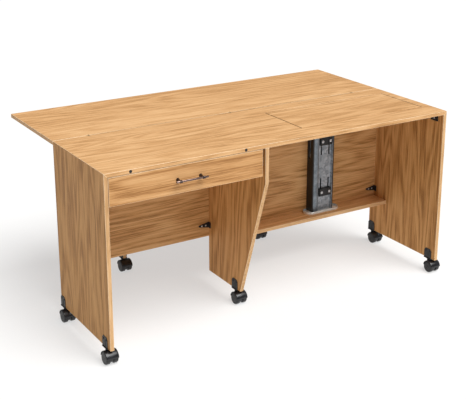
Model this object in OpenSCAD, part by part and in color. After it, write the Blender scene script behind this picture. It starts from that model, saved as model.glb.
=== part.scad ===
// Sewing table on casters: a fixed top with a lift-down machine platform, one
// drawer, and a rear quilting leaf that folds over the top and is carried by
// two swing-out gate legs.
// X runs left to right, Y runs front to rear, Z up from the floor.

/* [Overall] */
// Width across the two side panels
table_w = 1600; // [1400:10:1900]
// Height of the work surface above the floor
table_h = 750; // [620:5:900]
// Depth of the fixed top, front edge to seam
top_d = 465; // [440:5:560]
// Depth of the rear quilting leaf
leaf_d = 462; // [380:2:560]
// Gap between the fixed top and the leaf
seam_gap = 3; // [2.6:0.1:4]
// Thickness of the laminated boards
board_t = 16; // [15:1:19]

/* [Carcass] */
// Clear width of the drawer bay
drawer_bay_w = 660; // [540:10:800]
// Height of the panels' lower edges above the floor
panel_foot_z = 60; // [60:1:75]
// Height at which the middle panel starts to taper
taper_top_z = 590; // [480:5:610]
// How far the middle panel's foot stands back from the front
taper_setback = 183; // [60:1:230]
// Height of the back panel's lower edge
back_bottom_z = 222; // [180:2:300]
// Distance of the back panel from the rear edge of the side panels
back_inset = 11; // [6:1:20]
// Depth of the lift shelf
shelf_d = 92; // [80:2:140]

/* [Drawer] */
// Height of the drawer front
drawer_front_h = 109; // [90:1:130]
// Gap between the drawer front and the top above it
front_gap = 2; // [1:0.5:4]
// Gap between the drawer front and the middle panel
front_side_gap = 12; // [2:1:14]
// Thickness of the drawer sides and back
drawer_side_t = 12; // [10:1:15]
// Depth of the drawer box behind its front
drawer_box_d = 390; // [300:10:400]
// Height of the drawer box
drawer_box_h = 86; // [70:1:92]
// Distance between the handle posts
handle_pitch = 96; // [64:32:160]
// Reach of the handle in front of the drawer
handle_reach = 32; // [26:1:40]

/* [Lift] */
// Width of the opening in the top
opening_w = 636; // [520:2:680]
// Depth of the opening in the top
opening_d = 274; // [240:2:276]
// Distance from the front edge to the opening
opening_front = 110; // [60:2:114]
// Distance from the right edge to the opening
opening_right = 43; // [43:1:90]
// Gap around the lift platform
platform_gap = 3; // [2:0.5:5]
// How far the column stands right of the platform's centre
column_shift = 8; // [-40:2:40]
// Width of the steel column
column_w = 103; // [96:1:120]
// Depth of the steel column
column_d = 45; // [42:1:50]

/* [Gate legs] */
// Distance of the left gate leg from the left edge
gate_left_x = 420; // [400:5:560]
// Distance of the right gate leg from the right edge
gate_right_x = 456; // [400:5:600]
// Distance from the back panel to the gate leg's caster
gate_reach = 318; // [200:2:330]

/* [Casters] */
// Radius of the caster wheels
wheel_r = 25; // [20:1:25]
// Width of one caster wheel
wheel_w = 19; // [14:1:22]
// Distance from the swivel axis to the wheel axis
caster_trail = 20; // [15:1:24]
// Distance from a panel's front or rear edge to its caster
caster_inset = 45; // [40:1:80]

/* [Hidden] */

$fn = 64;
fit_gap = 0.05;         // running clearance of pins and stems
slide_gap = 0.2;        // clearance of slides and shoes
through = 1;            // how far a cut runs past the face it opens
oak = "#C89A62";
oak_side = "#9C6E42";
oak_edge = "#DDB67E";
black = "#1B1B1D";
zinc = "#AEB4BA";
bronze = "#4A4038";

// Frame: the origin is under the middle of the whole outline
total_d = top_d + seam_gap + leaf_d;
front_y = -(total_d - handle_reach) / 2;
left_x = -table_w / 2;
right_x = table_w / 2;
seam_front_y = front_y + top_d;
leaf_front_y = seam_front_y + seam_gap;
rear_y = leaf_front_y + leaf_d;
under_top_z = table_h - board_t;
left_inner_x = left_x + board_t;
right_inner_x = right_x - board_t;
middle_x = left_inner_x + drawer_bay_w;
middle_right_x = middle_x + board_t;
back_rear_y = seam_front_y - back_inset;
back_y = back_rear_y - board_t;
shelf_top_z = back_bottom_z + board_t;

// Drawer
front_x0 = left_inner_x + front_gap;
front_x1 = middle_x - front_side_gap;
front_top_z = under_top_z - front_gap;
front_z = front_top_z - drawer_front_h;
runner_t = 12;
runner_h = 35;
runner_wall = 3;        // steel behind the groove of a rail
groove_h = 25;          // height of that groove
groove_stop = 4;        // its closed length at the rear
runner_space = runner_t + 1;
box_x0 = left_inner_x + runner_space;
box_x1 = middle_x - runner_space;
box_y0 = front_y + board_t;
box_y1 = box_y0 + drawer_box_d;
box_z0 = front_z + (drawer_front_h - drawer_box_h) / 2;
box_z1 = box_z0 + drawer_box_h;
runner_z = (box_z0 + box_z1) / 2;
bottom_t = 5;
bottom_groove = 6;
bottom_z = box_z0 + 10;
handle_x = (front_x0 + front_x1) / 2;
handle_z = (front_z + front_top_z) / 2;
handle_overhang = 20;
bar_r = 4;
post_r = 4.5;
collar_r = bar_r + 2;
collar_half = 5;        // half length of a collar along the bar
bar_y_mid = front_y - handle_reach + collar_r;
handle_screw_r = 2;
handle_screw_head_r = 4;
handle_screw_l = 10;    // length in the post

// Lift
opening_x1 = right_x - opening_right;
opening_x0 = opening_x1 - opening_w;
opening_y0 = front_y + opening_front;
opening_y1 = opening_y0 + opening_d;
lift_x = (opening_x0 + opening_x1) / 2 + column_shift;
base_plate_t = 4;
base_rim_h = 10;
base_rim_t = 3;
base_side = 34;         // how far the base plate shows beside the column
base_lip = 9;           // how far it shows in front of the column
base_half_d = column_d / 2 + base_lip;
base_y = back_y - base_half_d;
base_screw_x = 10;      // base screws, from the sides of the guide rails
rail_t = 6;             // thickness of a guide rail
sheet_t = 2.5;          // folded steel of the column
column_y0 = back_y - column_d;
column_x0 = lift_x - column_w / 2;
column_x1 = lift_x + column_w / 2;
column_z0 = shelf_top_z + base_plate_t;
column_z1 = under_top_z - 29;
strip_w = 28;           // front strip left of the recessed plate
plate_recess = 8;
cavity_y0 = column_y0 + plate_recess + sheet_t;
cavity_y1 = back_y - sheet_t;
pin_y = (cavity_y0 + cavity_y1) / 2;
pin_r = 5;
foot_pin_r = 4;
foot_cheek_t = 4;
foot_cheek_w = 20;
foot_cheek_rise = 8;    // height of the cheeks above the foot pin
pin_top_z = column_z1 - 15;
foot_pin_z = column_z0 + 16;
spring_len = pin_top_z - foot_pin_z;
spring_fittings = 92;   // length of both end eyes, seal and piston
lift_travel = floor((spring_len - spring_fittings) / 2);
cylinder_r = 11;
spring_rod_r = 5;
eye_r = 10;
eye_t = 10;
cylinder_z0 = foot_pin_z + eye_r - 1;
cylinder_z1 = pin_top_z - lift_travel - eye_r - 4;
cylinder_wall = 2;
cylinder_end = 6;       // thickness of the cylinder's closed ends
piston_h = 12;
piston_z1 = cylinder_z1 - cylinder_end - 2;
rail_slot_w = 16;
pin_slot_w = 2 * pin_r + 2;
shoe_h = 50;
rail_slot_z0 = pin_top_z - lift_travel - shoe_h / 2 - 2;
block_w = 64;
block_h = 38;
block_t = 11;
low_block_z = column_z0 + 86;
high_block_z = column_z1 - 137;
block_x = column_x1 - (column_w - strip_w) / 2;
plate_slot_w = 7;
plate_slot_l = 84;
plate_slot_pitch = 42;
block_screw_r = 2.5;
block_screw_head_r = 4.5;
block_screw_head_h = 3;
block_screw_tail = 3;   // length behind the column's front plate
arm_t = 3;
arm_flange_w = 30;
arm_reach = 240;
arm_tip_h = 18;
arm_side_gap = 1;
arm_x = column_w / 2 + rail_t + arm_side_gap;
cheek_y0 = column_y0 + 3;
cheek_y1 = back_y - 2;
cheek_z0 = pin_top_z - 50;
cheek_chamfer = 10;
arm_top_z = under_top_z - arm_t;
screw_pitch = 90;
flange_screw_x = 18;    // arm screws, from the web of the arm
screw_margin = 30;
platform_screw_r = 2;

// Leaf hinges
hinge_drop = 5;         // depth of the hinge pivots below the surface
hinge_reach = 5.5;      // distance of the pivots from the middle of the seam
hinge_xs = [left_x + 150, 0, right_x - 150];
cup_w = 16;
cup_l = 30;
cup_z0 = table_h - 14.5;
cup_z1 = table_h - 1;   // a skin of the board covers the cups
link_w = 6;
link_r = 4;
link_pin_r = 1.5;
link_pin_l = 12;
seam_y = seam_front_y + seam_gap / 2;
hinge_z = table_h - hinge_drop;
fixed_pivot_y = seam_y - hinge_reach;
leaf_pivot_y = seam_y + hinge_reach;

// Gate legs
knuckle_offset = 5;     // distance of the hinge pin from the board faces
knuckle_r = 4;
gate_pin_r = 2;
plate_t = 1.6;
gate_plate_w = 30;
gate_hinge_h = 60;
knuckle_gap = 0.3;
plate_clear = 0.5;      // from a knuckle to its plate
gate_top_z = under_top_z - 1;
gate_pin_y = back_rear_y + knuckle_offset;
gate_y0 = back_rear_y + 7;
gate_foot_w = 44;
gate_caster_y = back_rear_y + gate_reach;
gate_foot_y0 = gate_caster_y - gate_foot_w / 2;
gate_foot_y1 = gate_caster_y + gate_foot_w / 2;
gate_left_mid = left_x + gate_left_x;
gate_right_mid = right_x - gate_right_x;
gate_hinge_zs = [back_bottom_z + 80, gate_top_z - 90];
gate_hinge_edge_z = back_bottom_z + 40;
gate_foot_h = 40;

// Casters
stem_r = 4;
stem_l = 22;
stem_bore_r = 5;
bracket_plate_t = 3;
bracket_w = 44;
bracket_h = 44;
bracket_cheek_t = 2;
bracket_reach = 13;
bolt_pitch = 24;
bolt_drop = 12;         // bolts below the top of the cheeks
hood_gap = 1.2;
hood_t = 2.8;
hood_lip = 5;           // height of the hood's edge above the axle
hood_end = 0.5;         // how far the hood runs past the wheels
boss_r = 8.5;
boss_gap = 0.4;
hub_r = wheel_r - 5;
web_t = 11;
wheel_gap = 1;
axle_r = 4;
axle_end = 0.4;
bolt_head_r = 4;
bolt_head_h = 2;
rear_caster_inset = 21; // the rear casters stand close under the rear edge
middle_caster_inset = 41;
wheel_in = web_t / 2 + wheel_gap;
wheel_out = wheel_in + wheel_w;
caster_front_y = front_y + caster_inset;
caster_rear_y = seam_front_y - rear_caster_inset;
middle_caster_y = front_y + taper_setback + middle_caster_inset;
// Swivel axes of the casters under the carcass
CARCASS_CASTERS = [
    [left_x + board_t / 2, caster_front_y],
    [left_x + board_t / 2, caster_rear_y],
    [middle_x + board_t / 2, middle_caster_y],
    [right_x - board_t / 2, caster_front_y],
    [right_x - board_t / 2, caster_rear_y]
];

// Dowels: [height] list of the joints with the side panels
dowel_r = 4;
dowel_l = 30;
dowel_in_side = 9;
dowel_in_end = dowel_l - dowel_in_side;
dowel_y = back_y + board_t / 2;
BACK_DOWEL_ZS = [back_bottom_z + 60, (back_bottom_z + under_top_z) / 2, under_top_z - 70];
shelf_dowel_z = back_bottom_z + board_t / 2;
shelf_dowel_y = back_y - shelf_d / 2;

// Brackets
brace_w = 50;
brace_h = 26;
brace_t = 3;
brace_leg = 18;
brace_tip_h = 6;
brace_screw_xs = [17, 36];
brace_z = shelf_top_z + 37;
angle_w = 44;
angle_leg = 24;
angle_drop = 36;
angle_t = 2.5;
angle_screw_x = 14;     // screw into the top, from the upright
angle_screw_z = angle_drop - 12;
angle_rear_y = back_y - 60;
angle_front_y = front_y + 55;
screw_r = 2;
screw_head_r = 3.8;
screw_head_h = 1.6;
screw_l = 12;
cap_r = 5;
cap_l = 10;
cap_proud = 0.8;
CAP_XS = [left_x + 105, left_x + 588];
// Braces: [corner x, side of the upright]
BRACES = [[left_inner_x, -1], [middle_x, 1], [middle_right_x, -1], [right_inner_x, 1]];
// Angles under the top: [upright x, y, side of the upright]
ANGLES = [[right_inner_x, angle_front_y, 1], [right_inner_x, angle_rear_y, 1],
          [middle_right_x, angle_front_y, -1], [middle_right_x, angle_rear_y, -1]];
GATE_LEFT_CASTER = [gate_left_mid, gate_caster_y];
GATE_RIGHT_CASTER = [gate_right_mid, gate_caster_y];

// A cuboid between two corners
module block(x0, x1, y0, y1, z0, z1) {
    translate([x0, y0, z0]) cube([x1 - x0, y1 - y0, z1 - z0]);
}

// Round bars along each axis
module bar_x(r, x0, x1, y, z) {
    translate([x0, y, z]) rotate([0, 90, 0]) cylinder(r = r, h = x1 - x0);
}
module bar_y(r, x, y0, y1, z) {
    translate([x, y1, z]) rotate([90, 0, 0]) cylinder(r = r, h = y1 - y0);
}
module bar_z(r, x, y, z0, z1) {
    translate([x, y, z0]) cylinder(r = r, h = z1 - z0);
}

// A profile in the X-Z plane, extruded along Y
module slab_xz(points, y0, y1) {
    translate([0, y1, 0]) rotate([90, 0, 0]) linear_extrude(y1 - y0) polygon(points);
}

// A profile in the Y-Z plane, extruded along X
module slab_yz(points, x0, x1) {
    translate([x0, 0, 0]) rotate([90, 0, 90]) linear_extrude(x1 - x0) polygon(points);
}

// Pan-head screws whose heads rest on a face; the shank points along +Y,
// along X in the direction dir, and upwards
module screw_y(x, y, z, r, head_r, head_h, l) {
    bar_y(head_r, x, y - head_h, y, z);
    bar_y(r, x, y - head_h / 2, y + l, z);
}

module screw_x(x, y, z, dir, r, head_r, head_h, l) {
    translate([x, y, z]) rotate([0, dir > 0 ? 90 : -90, 0]) {
        translate([0, 0, -head_h]) cylinder(r = head_r, h = head_h);
        translate([0, 0, -head_h / 2]) cylinder(r = r, h = l + head_h / 2);
    }
}

module screw_z(x, y, z, r, head_r, head_h, l) {
    bar_z(head_r, x, y, z - head_h, z);
    bar_z(r, x, y, z - head_h / 2, z + l);
}

// ---- Carcass ----

// Pocket for one leaf hinge in the edge of a board; side is -1 for the
// fixed top and 1 for the leaf
module hinge_pocket(x, side) {
    edge_y = seam_y + side * seam_gap / 2;
    y0 = side > 0 ? edge_y - through : edge_y - cup_l;
    y1 = side > 0 ? edge_y + cup_l : edge_y + through;
    block(x - cup_w / 2, x + cup_w / 2, y0, y1, cup_z0, cup_z1);
    link_slot(x, side);
}

// Room for the swinging link, open to the edge and to the surface
module link_slot(x, side) {
    edge_y = seam_y + side * seam_gap / 2;
    pivot_y = seam_y + side * hinge_reach;
    far_y = pivot_y + side * (link_r + slide_gap);
    y0 = min(far_y, edge_y + side * -through);
    y1 = max(far_y, edge_y + side * -through);
    block(x - link_w / 2 - slide_gap, x + link_w / 2 + slide_gap, y0, y1,
          hinge_z - link_r - slide_gap, table_h + through);
}

module hinge_cup(x, side) {
    edge_y = seam_y + side * seam_gap / 2;
    pivot_y = seam_y + side * hinge_reach;
    y0 = side > 0 ? edge_y : edge_y - cup_l;
    difference() {
        block(x - cup_w / 2, x + cup_w / 2, y0, y0 + cup_l, cup_z0, cup_z1);
        link_slot(x, side);
        bar_x(link_pin_r + fit_gap, x - link_pin_l / 2 - fit_gap, x + link_pin_l / 2 + fit_gap,
              pivot_y, hinge_z);
    }
}

module main_top() {
    color(oak) difference() {
        slab_xz([[left_x, table_h], [right_x, table_h],
                 [right_inner_x, under_top_z], [left_inner_x, under_top_z]],
                front_y, seam_front_y);
        block(opening_x0, opening_x1, opening_y0, opening_y1,
              under_top_z - through, table_h + through);
        for (x = hinge_xs) hinge_pocket(x, -1);
        for (x = CAP_XS) {
            bar_y(cap_r + fit_gap, x, front_y - through, front_y + cap_l, table_h - board_t / 2);
        }
    }
}

// One side panel with its mitred head; side is -1 left, 1 right
module side_panel(side) {
    outer = side * table_w / 2;
    inner = side * (table_w / 2 - board_t);
    difference() {
        slab_xz([[outer, panel_foot_z], [outer, table_h],
                 [inner, under_top_z], [inner, panel_foot_z]],
                front_y, seam_front_y);
        dowels(dowel_r + fit_gap);
        for (p = CARCASS_CASTERS) stem_bore(p);
    }
}

module left_side_panel() {
    color(oak_side) side_panel(-1);
}

module right_side_panel() {
    color(oak_side) side_panel(1);
}

module middle_panel() {
    color(oak_side) difference() {
        slab_yz([[front_y, taper_top_z], [front_y, under_top_z], [back_y, under_top_z],
                 [back_y, panel_foot_z], [front_y + taper_setback, panel_foot_z]],
                middle_x, middle_right_x);
        dowels(dowel_r + fit_gap);
        for (p = CARCASS_CASTERS) stem_bore(p);
    }
}

module back_panel() {
    color(oak) difference() {
        block(left_inner_x, right_inner_x, back_y, back_rear_y, back_bottom_z, under_top_z);
        dowels(dowel_r + fit_gap);
    }
}

module lift_shelf() {
    color(oak) difference() {
        block(middle_right_x, right_inner_x, back_y - shelf_d, back_y,
              back_bottom_z, shelf_top_z);
        dowels(dowel_r + fit_gap);
        base_screw_shanks(screw_r + fit_gap, screw_l);
    }
}

// All dowels, or their bores when called with a larger radius
module dowels(r) {
    grow = r - dowel_r;
    for (z = BACK_DOWEL_ZS) {
        bar_x(r, left_inner_x - dowel_in_side - grow, left_inner_x + dowel_in_end + grow, dowel_y, z);
        bar_x(r, right_inner_x - dowel_in_end - grow, right_inner_x + dowel_in_side + grow, dowel_y, z);
        bar_y(r, middle_x + board_t / 2, back_y - dowel_in_end - grow, back_y + dowel_in_side + grow, z);
    }
    bar_x(r, right_inner_x - dowel_in_end - grow, right_inner_x + dowel_in_side + grow,
          shelf_dowel_y, shelf_dowel_z);
    bar_x(r, middle_right_x - dowel_in_side - grow, middle_right_x + dowel_in_end + grow,
          shelf_dowel_y, shelf_dowel_z);
}

module panel_dowels() {
    color("burlywood") dowels(dowel_r);
}

// Triangular brace in the corner of the back panel and an upright panel;
// side is 1 when the upright is on the right of the brace
module brace(corner_x, side) {
    difference() {
        union() {
            slab_xz([[corner_x, brace_z - brace_h / 2], [corner_x, brace_z + brace_h / 2],
                     [corner_x - side * brace_w, brace_z + brace_tip_h / 2],
                     [corner_x - side * brace_w, brace_z - brace_tip_h / 2]],
                    back_y - brace_t, back_y);
            block(min(corner_x, corner_x - side * brace_t), max(corner_x, corner_x - side * brace_t),
                  back_y - brace_leg, back_y, brace_z - brace_h / 2, brace_z + brace_h / 2);
        }
        for (x = brace_screw_xs) {
            bar_y(screw_r + fit_gap, corner_x - side * x, back_y - brace_t - through, back_y + through,
                  brace_z);
        }
    }
}

module corner_brackets() {
    color(black) for (b = BRACES) brace(b[0], b[1]);
}

// Sheet angles that tie the top to the uprights; side is 1 when the upright
// is on the right of the angle
module angle_bracket(x, y, side) {
    x_leg = x - side * angle_t;
    x_far = x - side * angle_leg;
    difference() {
        union() {
            block(min(x, x_leg), max(x, x_leg), y - angle_w / 2, y + angle_w / 2,
                  under_top_z - angle_drop, under_top_z);
            block(min(x, x_far), max(x, x_far), y - angle_w / 2, y + angle_w / 2,
                  under_top_z - angle_t, under_top_z);
        }
        bar_z(screw_r + fit_gap, x - side * angle_screw_x, y,
              under_top_z - angle_t - through, under_top_z + through);
        bar_x(screw_r + fit_gap, x - angle_t - through, x + angle_t + through, y,
              under_top_z - angle_screw_z);
    }
}

module top_brackets() {
    color(black) for (a = ANGLES) angle_bracket(a[0], a[1], a[2]);
}

// Shanks or bores of the screws that hold the base plate on the shelf
module base_screw_shanks(r, depth) {
    for (s = [-1, 1]) {
        bar_z(r, lift_x + s * (column_w / 2 + rail_t + base_screw_x), base_y,
              shelf_top_z - depth, column_z0);
    }
}

// Screws of the braces, the angles and the base plate
module bracket_screws() {
    color(zinc) {
        for (b = BRACES) {
            for (x = brace_screw_xs) {
                screw_y(b[0] - b[1] * x, back_y - brace_t, brace_z,
                        screw_r, screw_head_r, screw_head_h, brace_t);
            }
        }
        for (a = ANGLES) {
            screw_z(a[0] - a[2] * angle_screw_x, a[1], under_top_z - angle_t,
                    screw_r, screw_head_r, screw_head_h, angle_t);
            screw_x(a[0] - a[2] * angle_t, a[1], under_top_z - angle_screw_z, a[2],
                    screw_r, screw_head_r, screw_head_h, angle_t);
        }
        base_screw_shanks(screw_r, screw_l - through);
        for (s = [-1, 1]) {
            bar_z(screw_head_r, lift_x + s * (column_w / 2 + rail_t + base_screw_x), base_y,
                  column_z0, column_z0 + screw_head_h);
        }
    }
}

module edge_caps() {
    color(black) for (x = CAP_XS) {
        bar_y(cap_r, x, front_y - cap_proud, front_y + cap_l - 1, table_h - board_t / 2);
    }
}

// ---- Drawer ----

// Fixed rail on an upright; side is 1 for the rail on the left upright
module runner_rail(x, side) {
    difference() {
        block(min(x, x + side * runner_t), max(x, x + side * runner_t), box_y0, box_y1,
              runner_z - runner_h / 2, runner_z + runner_h / 2);
        groove_x0 = x + side * runner_wall;
        groove_x1 = x + side * (runner_t + through);
        block(min(groove_x0, groove_x1), max(groove_x0, groove_x1), box_y0 - through, box_y1 - groove_stop,
              runner_z - groove_h / 2, runner_z + groove_h / 2);
    }
}

module runner_rails() {
    color(zinc) {
        runner_rail(left_inner_x, 1);
        runner_rail(middle_x, -1);
    }
}

module runner_slide(x, side) {
    tongue_x = x - side * (runner_t - runner_wall - 1);
    flange_x = x - side * (runner_space - runner_t - slide_gap);
    slide_y0 = box_y0 + 2;
    slide_y1 = box_y1 - groove_stop - 2;
    block(min(x, tongue_x), max(x, tongue_x), slide_y0, slide_y1,
          runner_z - groove_h / 2 + slide_gap, runner_z + groove_h / 2 - slide_gap);
    block(min(x, flange_x), max(x, flange_x), slide_y0, slide_y1,
          runner_z - runner_h / 2, runner_z + runner_h / 2);
}

module runner_slides() {
    color(zinc) {
        runner_slide(box_x0, 1);
        runner_slide(box_x1, -1);
    }
}

module handle_screw_holes(r) {
    for (s = [-1, 1]) {
        bar_y(r, handle_x + s * handle_pitch / 2, front_y - through, front_y + board_t + through, handle_z);
    }
}

module drawer_front() {
    color(oak) difference() {
        block(front_x0, front_x1, front_y, front_y + board_t, front_z, front_top_z);
        handle_screw_holes(handle_screw_r + fit_gap);
    }
}

module drawer_side(x0, groove_x0) {
    difference() {
        block(x0, x0 + drawer_side_t, box_y0, box_y1, box_z0, box_z1);
        block(groove_x0, groove_x0 + bottom_groove + through, box_y0 - through, box_y1 + through,
              bottom_z - slide_gap, bottom_z + bottom_t + slide_gap);
    }
}

module drawer_left_side() {
    color(oak_edge) drawer_side(box_x0, box_x0 + drawer_side_t - bottom_groove);
}

module drawer_right_side() {
    color(oak_edge) drawer_side(box_x1 - drawer_side_t, box_x1 - drawer_side_t - through);
}

module drawer_back() {
    color(oak_edge) block(box_x0 + drawer_side_t, box_x1 - drawer_side_t,
                          box_y1 - drawer_side_t, box_y1, bottom_z + bottom_t + slide_gap, box_z1);
}

module drawer_bottom() {
    side_cover = drawer_side_t - bottom_groove + slide_gap;
    color(oak_edge) block(box_x0 + side_cover, box_x1 - side_cover, box_y0, box_y1,
                          bottom_z, bottom_z + bottom_t);
}

module handle_posts() {
    color(bronze) for (s = [-1, 1]) {
        post_x = handle_x + s * handle_pitch / 2;
        difference() {
            union() {
                bar_y(post_r, post_x, bar_y_mid, front_y, handle_z);
                bar_x(collar_r, post_x - collar_half, post_x + collar_half, bar_y_mid, handle_z);
            }
            bar_x(bar_r, post_x - collar_half - through, post_x + collar_half + through,
                  bar_y_mid, handle_z);
            bar_y(handle_screw_r + fit_gap, post_x, front_y - handle_screw_l - 2, front_y + through,
                  handle_z);
        }
    }
}

module handle_bar() {
    half = handle_pitch / 2 + handle_overhang;
    color(zinc) bar_x(bar_r, handle_x - half, handle_x + half, bar_y_mid, handle_z);
}

module handle_screws() {
    color(zinc) for (s = [-1, 1]) {
        post_x = handle_x + s * handle_pitch / 2;
        bar_y(handle_screw_r, post_x, front_y - handle_screw_l, box_y0, handle_z);
        bar_y(handle_screw_head_r, post_x, box_y0, box_y0 + bolt_head_h, handle_z);
    }
}

// ---- Quilting leaf ----

module leaf_hinge_cups() {
    color(zinc) for (x = hinge_xs) hinge_cup(x, -1);
}

module leaf_cups() {
    color(zinc) for (x = hinge_xs) hinge_cup(x, 1);
}

module leaf_hinge_links() {
    color(zinc) for (x = hinge_xs) {
        bar_x(link_r, x - link_w / 2, x + link_w / 2, fixed_pivot_y, hinge_z);
        bar_x(link_r, x - link_w / 2, x + link_w / 2, leaf_pivot_y, hinge_z);
        block(x - link_w / 2, x + link_w / 2, fixed_pivot_y, leaf_pivot_y,
              hinge_z - link_r, hinge_z + link_r);
        bar_x(link_pin_r, x - link_pin_l / 2, x + link_pin_l / 2, fixed_pivot_y, hinge_z);
        bar_x(link_pin_r, x - link_pin_l / 2, x + link_pin_l / 2, leaf_pivot_y, hinge_z);
    }
}

module quilting_leaf() {
    color(oak) difference() {
        block(left_x, right_x, leaf_front_y, rear_y, under_top_z, table_h);
        for (x = hinge_xs) hinge_pocket(x, 1);
    }
}

// ---- Lift ----

// Outline of the base plate: a bar with round ends, grown by r
module stadium(half_l, r, z0, z1) {
    block(lift_x - half_l, lift_x + half_l, base_y - r, base_y + r, z0, z1);
    bar_z(r, lift_x - half_l, base_y, z0, z1);
    bar_z(r, lift_x + half_l, base_y, z0, z1);
}

// Round-ended plate with a rim that runs round its front and its ends
module lift_base_plate() {
    half_l = column_w / 2 + rail_t + base_side - base_half_d;
    color("silver") difference() {
        stadium(half_l, base_half_d, shelf_top_z, shelf_top_z + base_rim_h);
        stadium(half_l, base_half_d - base_rim_t, column_z0, shelf_top_z + base_rim_h + through);
        block(lift_x - column_w / 2 - rail_t - fit_gap, lift_x + column_w / 2 + rail_t + fit_gap,
              column_y0 - fit_gap, back_y + through, column_z0, shelf_top_z + base_rim_h + through);
        base_screw_shanks(screw_r + fit_gap, base_plate_t);
        base_screw_shanks(screw_r + fit_gap, -base_plate_t - through);
    }
}

// Folded steel column: a closed tube with a narrow front strip on the left
// and a slotted plate that stands back from it
module lift_column() {
    color(zinc) difference() {
        union() {
            block(column_x0, column_x1, column_y0 + plate_recess, back_y, column_z0, column_z1);
            block(column_x0, column_x0 + strip_w, column_y0, back_y, column_z0, column_z1);
            block(column_x1 - sheet_t, column_x1, column_y0, back_y, column_z0, column_z1);
        }
        block(column_x0 + sheet_t, column_x1 - sheet_t, cavity_y0, cavity_y1,
              column_z0 + sheet_t, column_z1 + through);
        block(column_x0 + sheet_t, column_x0 + strip_w - sheet_t, column_y0 + sheet_t, cavity_y1,
              column_z0 + sheet_t, column_z1 + through);
        block(column_x0 - through, column_x1 + through, pin_y - pin_slot_w / 2, pin_y + pin_slot_w / 2,
              pin_top_z - lift_travel - pin_slot_w / 2, column_z1 + through);
        for (z = [low_block_z, high_block_z]) {
            for (s = [-1, 1]) {
                plate_slot(block_x + s * plate_slot_pitch / 2, z);
            }
        }
    }
}

// Adjustment slot in the column's front plate; the lower pair runs up from
// its block and the upper pair runs down
module plate_slot(x, block_z) {
    toward = block_z == low_block_z ? 1 : -1;
    z_far = block_z + toward * (plate_slot_l - block_h / 2);
    z_near = block_z - toward * block_h / 4;
    block(x - plate_slot_w / 2, x + plate_slot_w / 2, column_y0, cavity_y0 + through,
          min(z_far, z_near), max(z_far, z_near));
}

module lift_guide_rails() {
    color(black) for (s = [-1, 1]) {
        inner = lift_x + s * column_w / 2;
        outer = inner + s * rail_t;
        difference() {
            block(min(inner, outer), max(inner, outer), column_y0, back_y, column_z0, column_z1);
            block(min(inner, outer) - through, max(inner, outer) + through,
                  pin_y - rail_slot_w / 2, pin_y + rail_slot_w / 2, rail_slot_z0, column_z1 + through);
        }
    }
}

module clamp_screw_axes(r, y0, y1) {
    for (z = [low_block_z, high_block_z]) {
        for (s = [-1, 1]) {
            bar_y(r, block_x + s * plate_slot_pitch / 2, y0, y1, z);
        }
    }
}

module lift_clamp_blocks() {
    plate_y = column_y0 + plate_recess;
    color(black) difference() {
        for (z = [low_block_z, high_block_z]) {
            block(block_x - block_w / 2, block_x + block_w / 2, plate_y - block_t, plate_y,
                  z - block_h / 2, z + block_h / 2);
        }
        clamp_screw_axes(block_screw_r + fit_gap, plate_y - block_t - through, plate_y + through);
    }
}

module lift_block_screws() {
    plate_y = column_y0 + plate_recess;
    color("white") {
        clamp_screw_axes(block_screw_r, plate_y - block_t - 1, cavity_y0 + block_screw_tail);
        clamp_screw_axes(block_screw_head_r, plate_y - block_t - block_screw_head_h, plate_y - block_t);
    }
}

module gas_spring_foot() {
    color(zinc) {
        for (s = [-1, 1]) {
            x0 = lift_x + s * (eye_t / 2 + slide_gap);
            x1 = x0 + s * foot_cheek_t;
            block(min(x0, x1), max(x0, x1), pin_y - foot_cheek_w / 2, pin_y + foot_cheek_w / 2,
                  column_z0 + sheet_t, foot_pin_z + foot_cheek_rise);
        }
        bar_x(foot_pin_r, lift_x - eye_t, lift_x + eye_t, pin_y, foot_pin_z);
    }
}

module gas_spring_cylinder() {
    color(black) difference() {
        union() {
            bar_z(cylinder_r, lift_x, pin_y, cylinder_z0, cylinder_z1);
            bar_x(eye_r, lift_x - eye_t / 2, lift_x + eye_t / 2, pin_y, foot_pin_z);
        }
        bar_z(cylinder_r - cylinder_wall, lift_x, pin_y,
              cylinder_z0 + cylinder_end, cylinder_z1 - cylinder_end);
        bar_z(spring_rod_r + fit_gap, lift_x, pin_y, cylinder_z1 - cylinder_end - through,
              cylinder_z1 + through);
        bar_x(foot_pin_r + fit_gap, lift_x - eye_t, lift_x + eye_t, pin_y, foot_pin_z);
    }
}

module gas_spring_rod() {
    color("silver") difference() {
        union() {
            bar_z(spring_rod_r, lift_x, pin_y, piston_z1 - piston_h, pin_top_z);
            bar_z(cylinder_r - cylinder_wall - fit_gap, lift_x, pin_y,
                  piston_z1 - piston_h, piston_z1);
            bar_x(eye_r, lift_x - eye_t / 2, lift_x + eye_t / 2, pin_y, pin_top_z);
        }
        bar_x(pin_r + fit_gap, lift_x - eye_t, lift_x + eye_t, pin_y, pin_top_z);
    }
}

module lift_cross_pin() {
    color("silver") bar_x(pin_r, lift_x - arm_x - arm_t, lift_x + arm_x + arm_t, pin_y, pin_top_z);
}

module slide_shoes() {
    color("white") for (s = [-1, 1]) {
        x0 = lift_x + s * (column_w / 2 + slide_gap);
        x1 = lift_x + s * arm_x;
        difference() {
            block(min(x0, x1), max(x0, x1),
                  pin_y - rail_slot_w / 2 + slide_gap, pin_y + rail_slot_w / 2 - slide_gap,
                  pin_top_z - shoe_h / 2, column_z1);
            bar_x(pin_r + fit_gap, min(x0, x1) - through, max(x0, x1) + through, pin_y, pin_top_z);
        }
    }
}

// Places of the screws that hold the platform on one arm
function arm_screw_ys() = [for (i = [0 : 2]) opening_y1 - screw_margin - i * screw_pitch];

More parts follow.
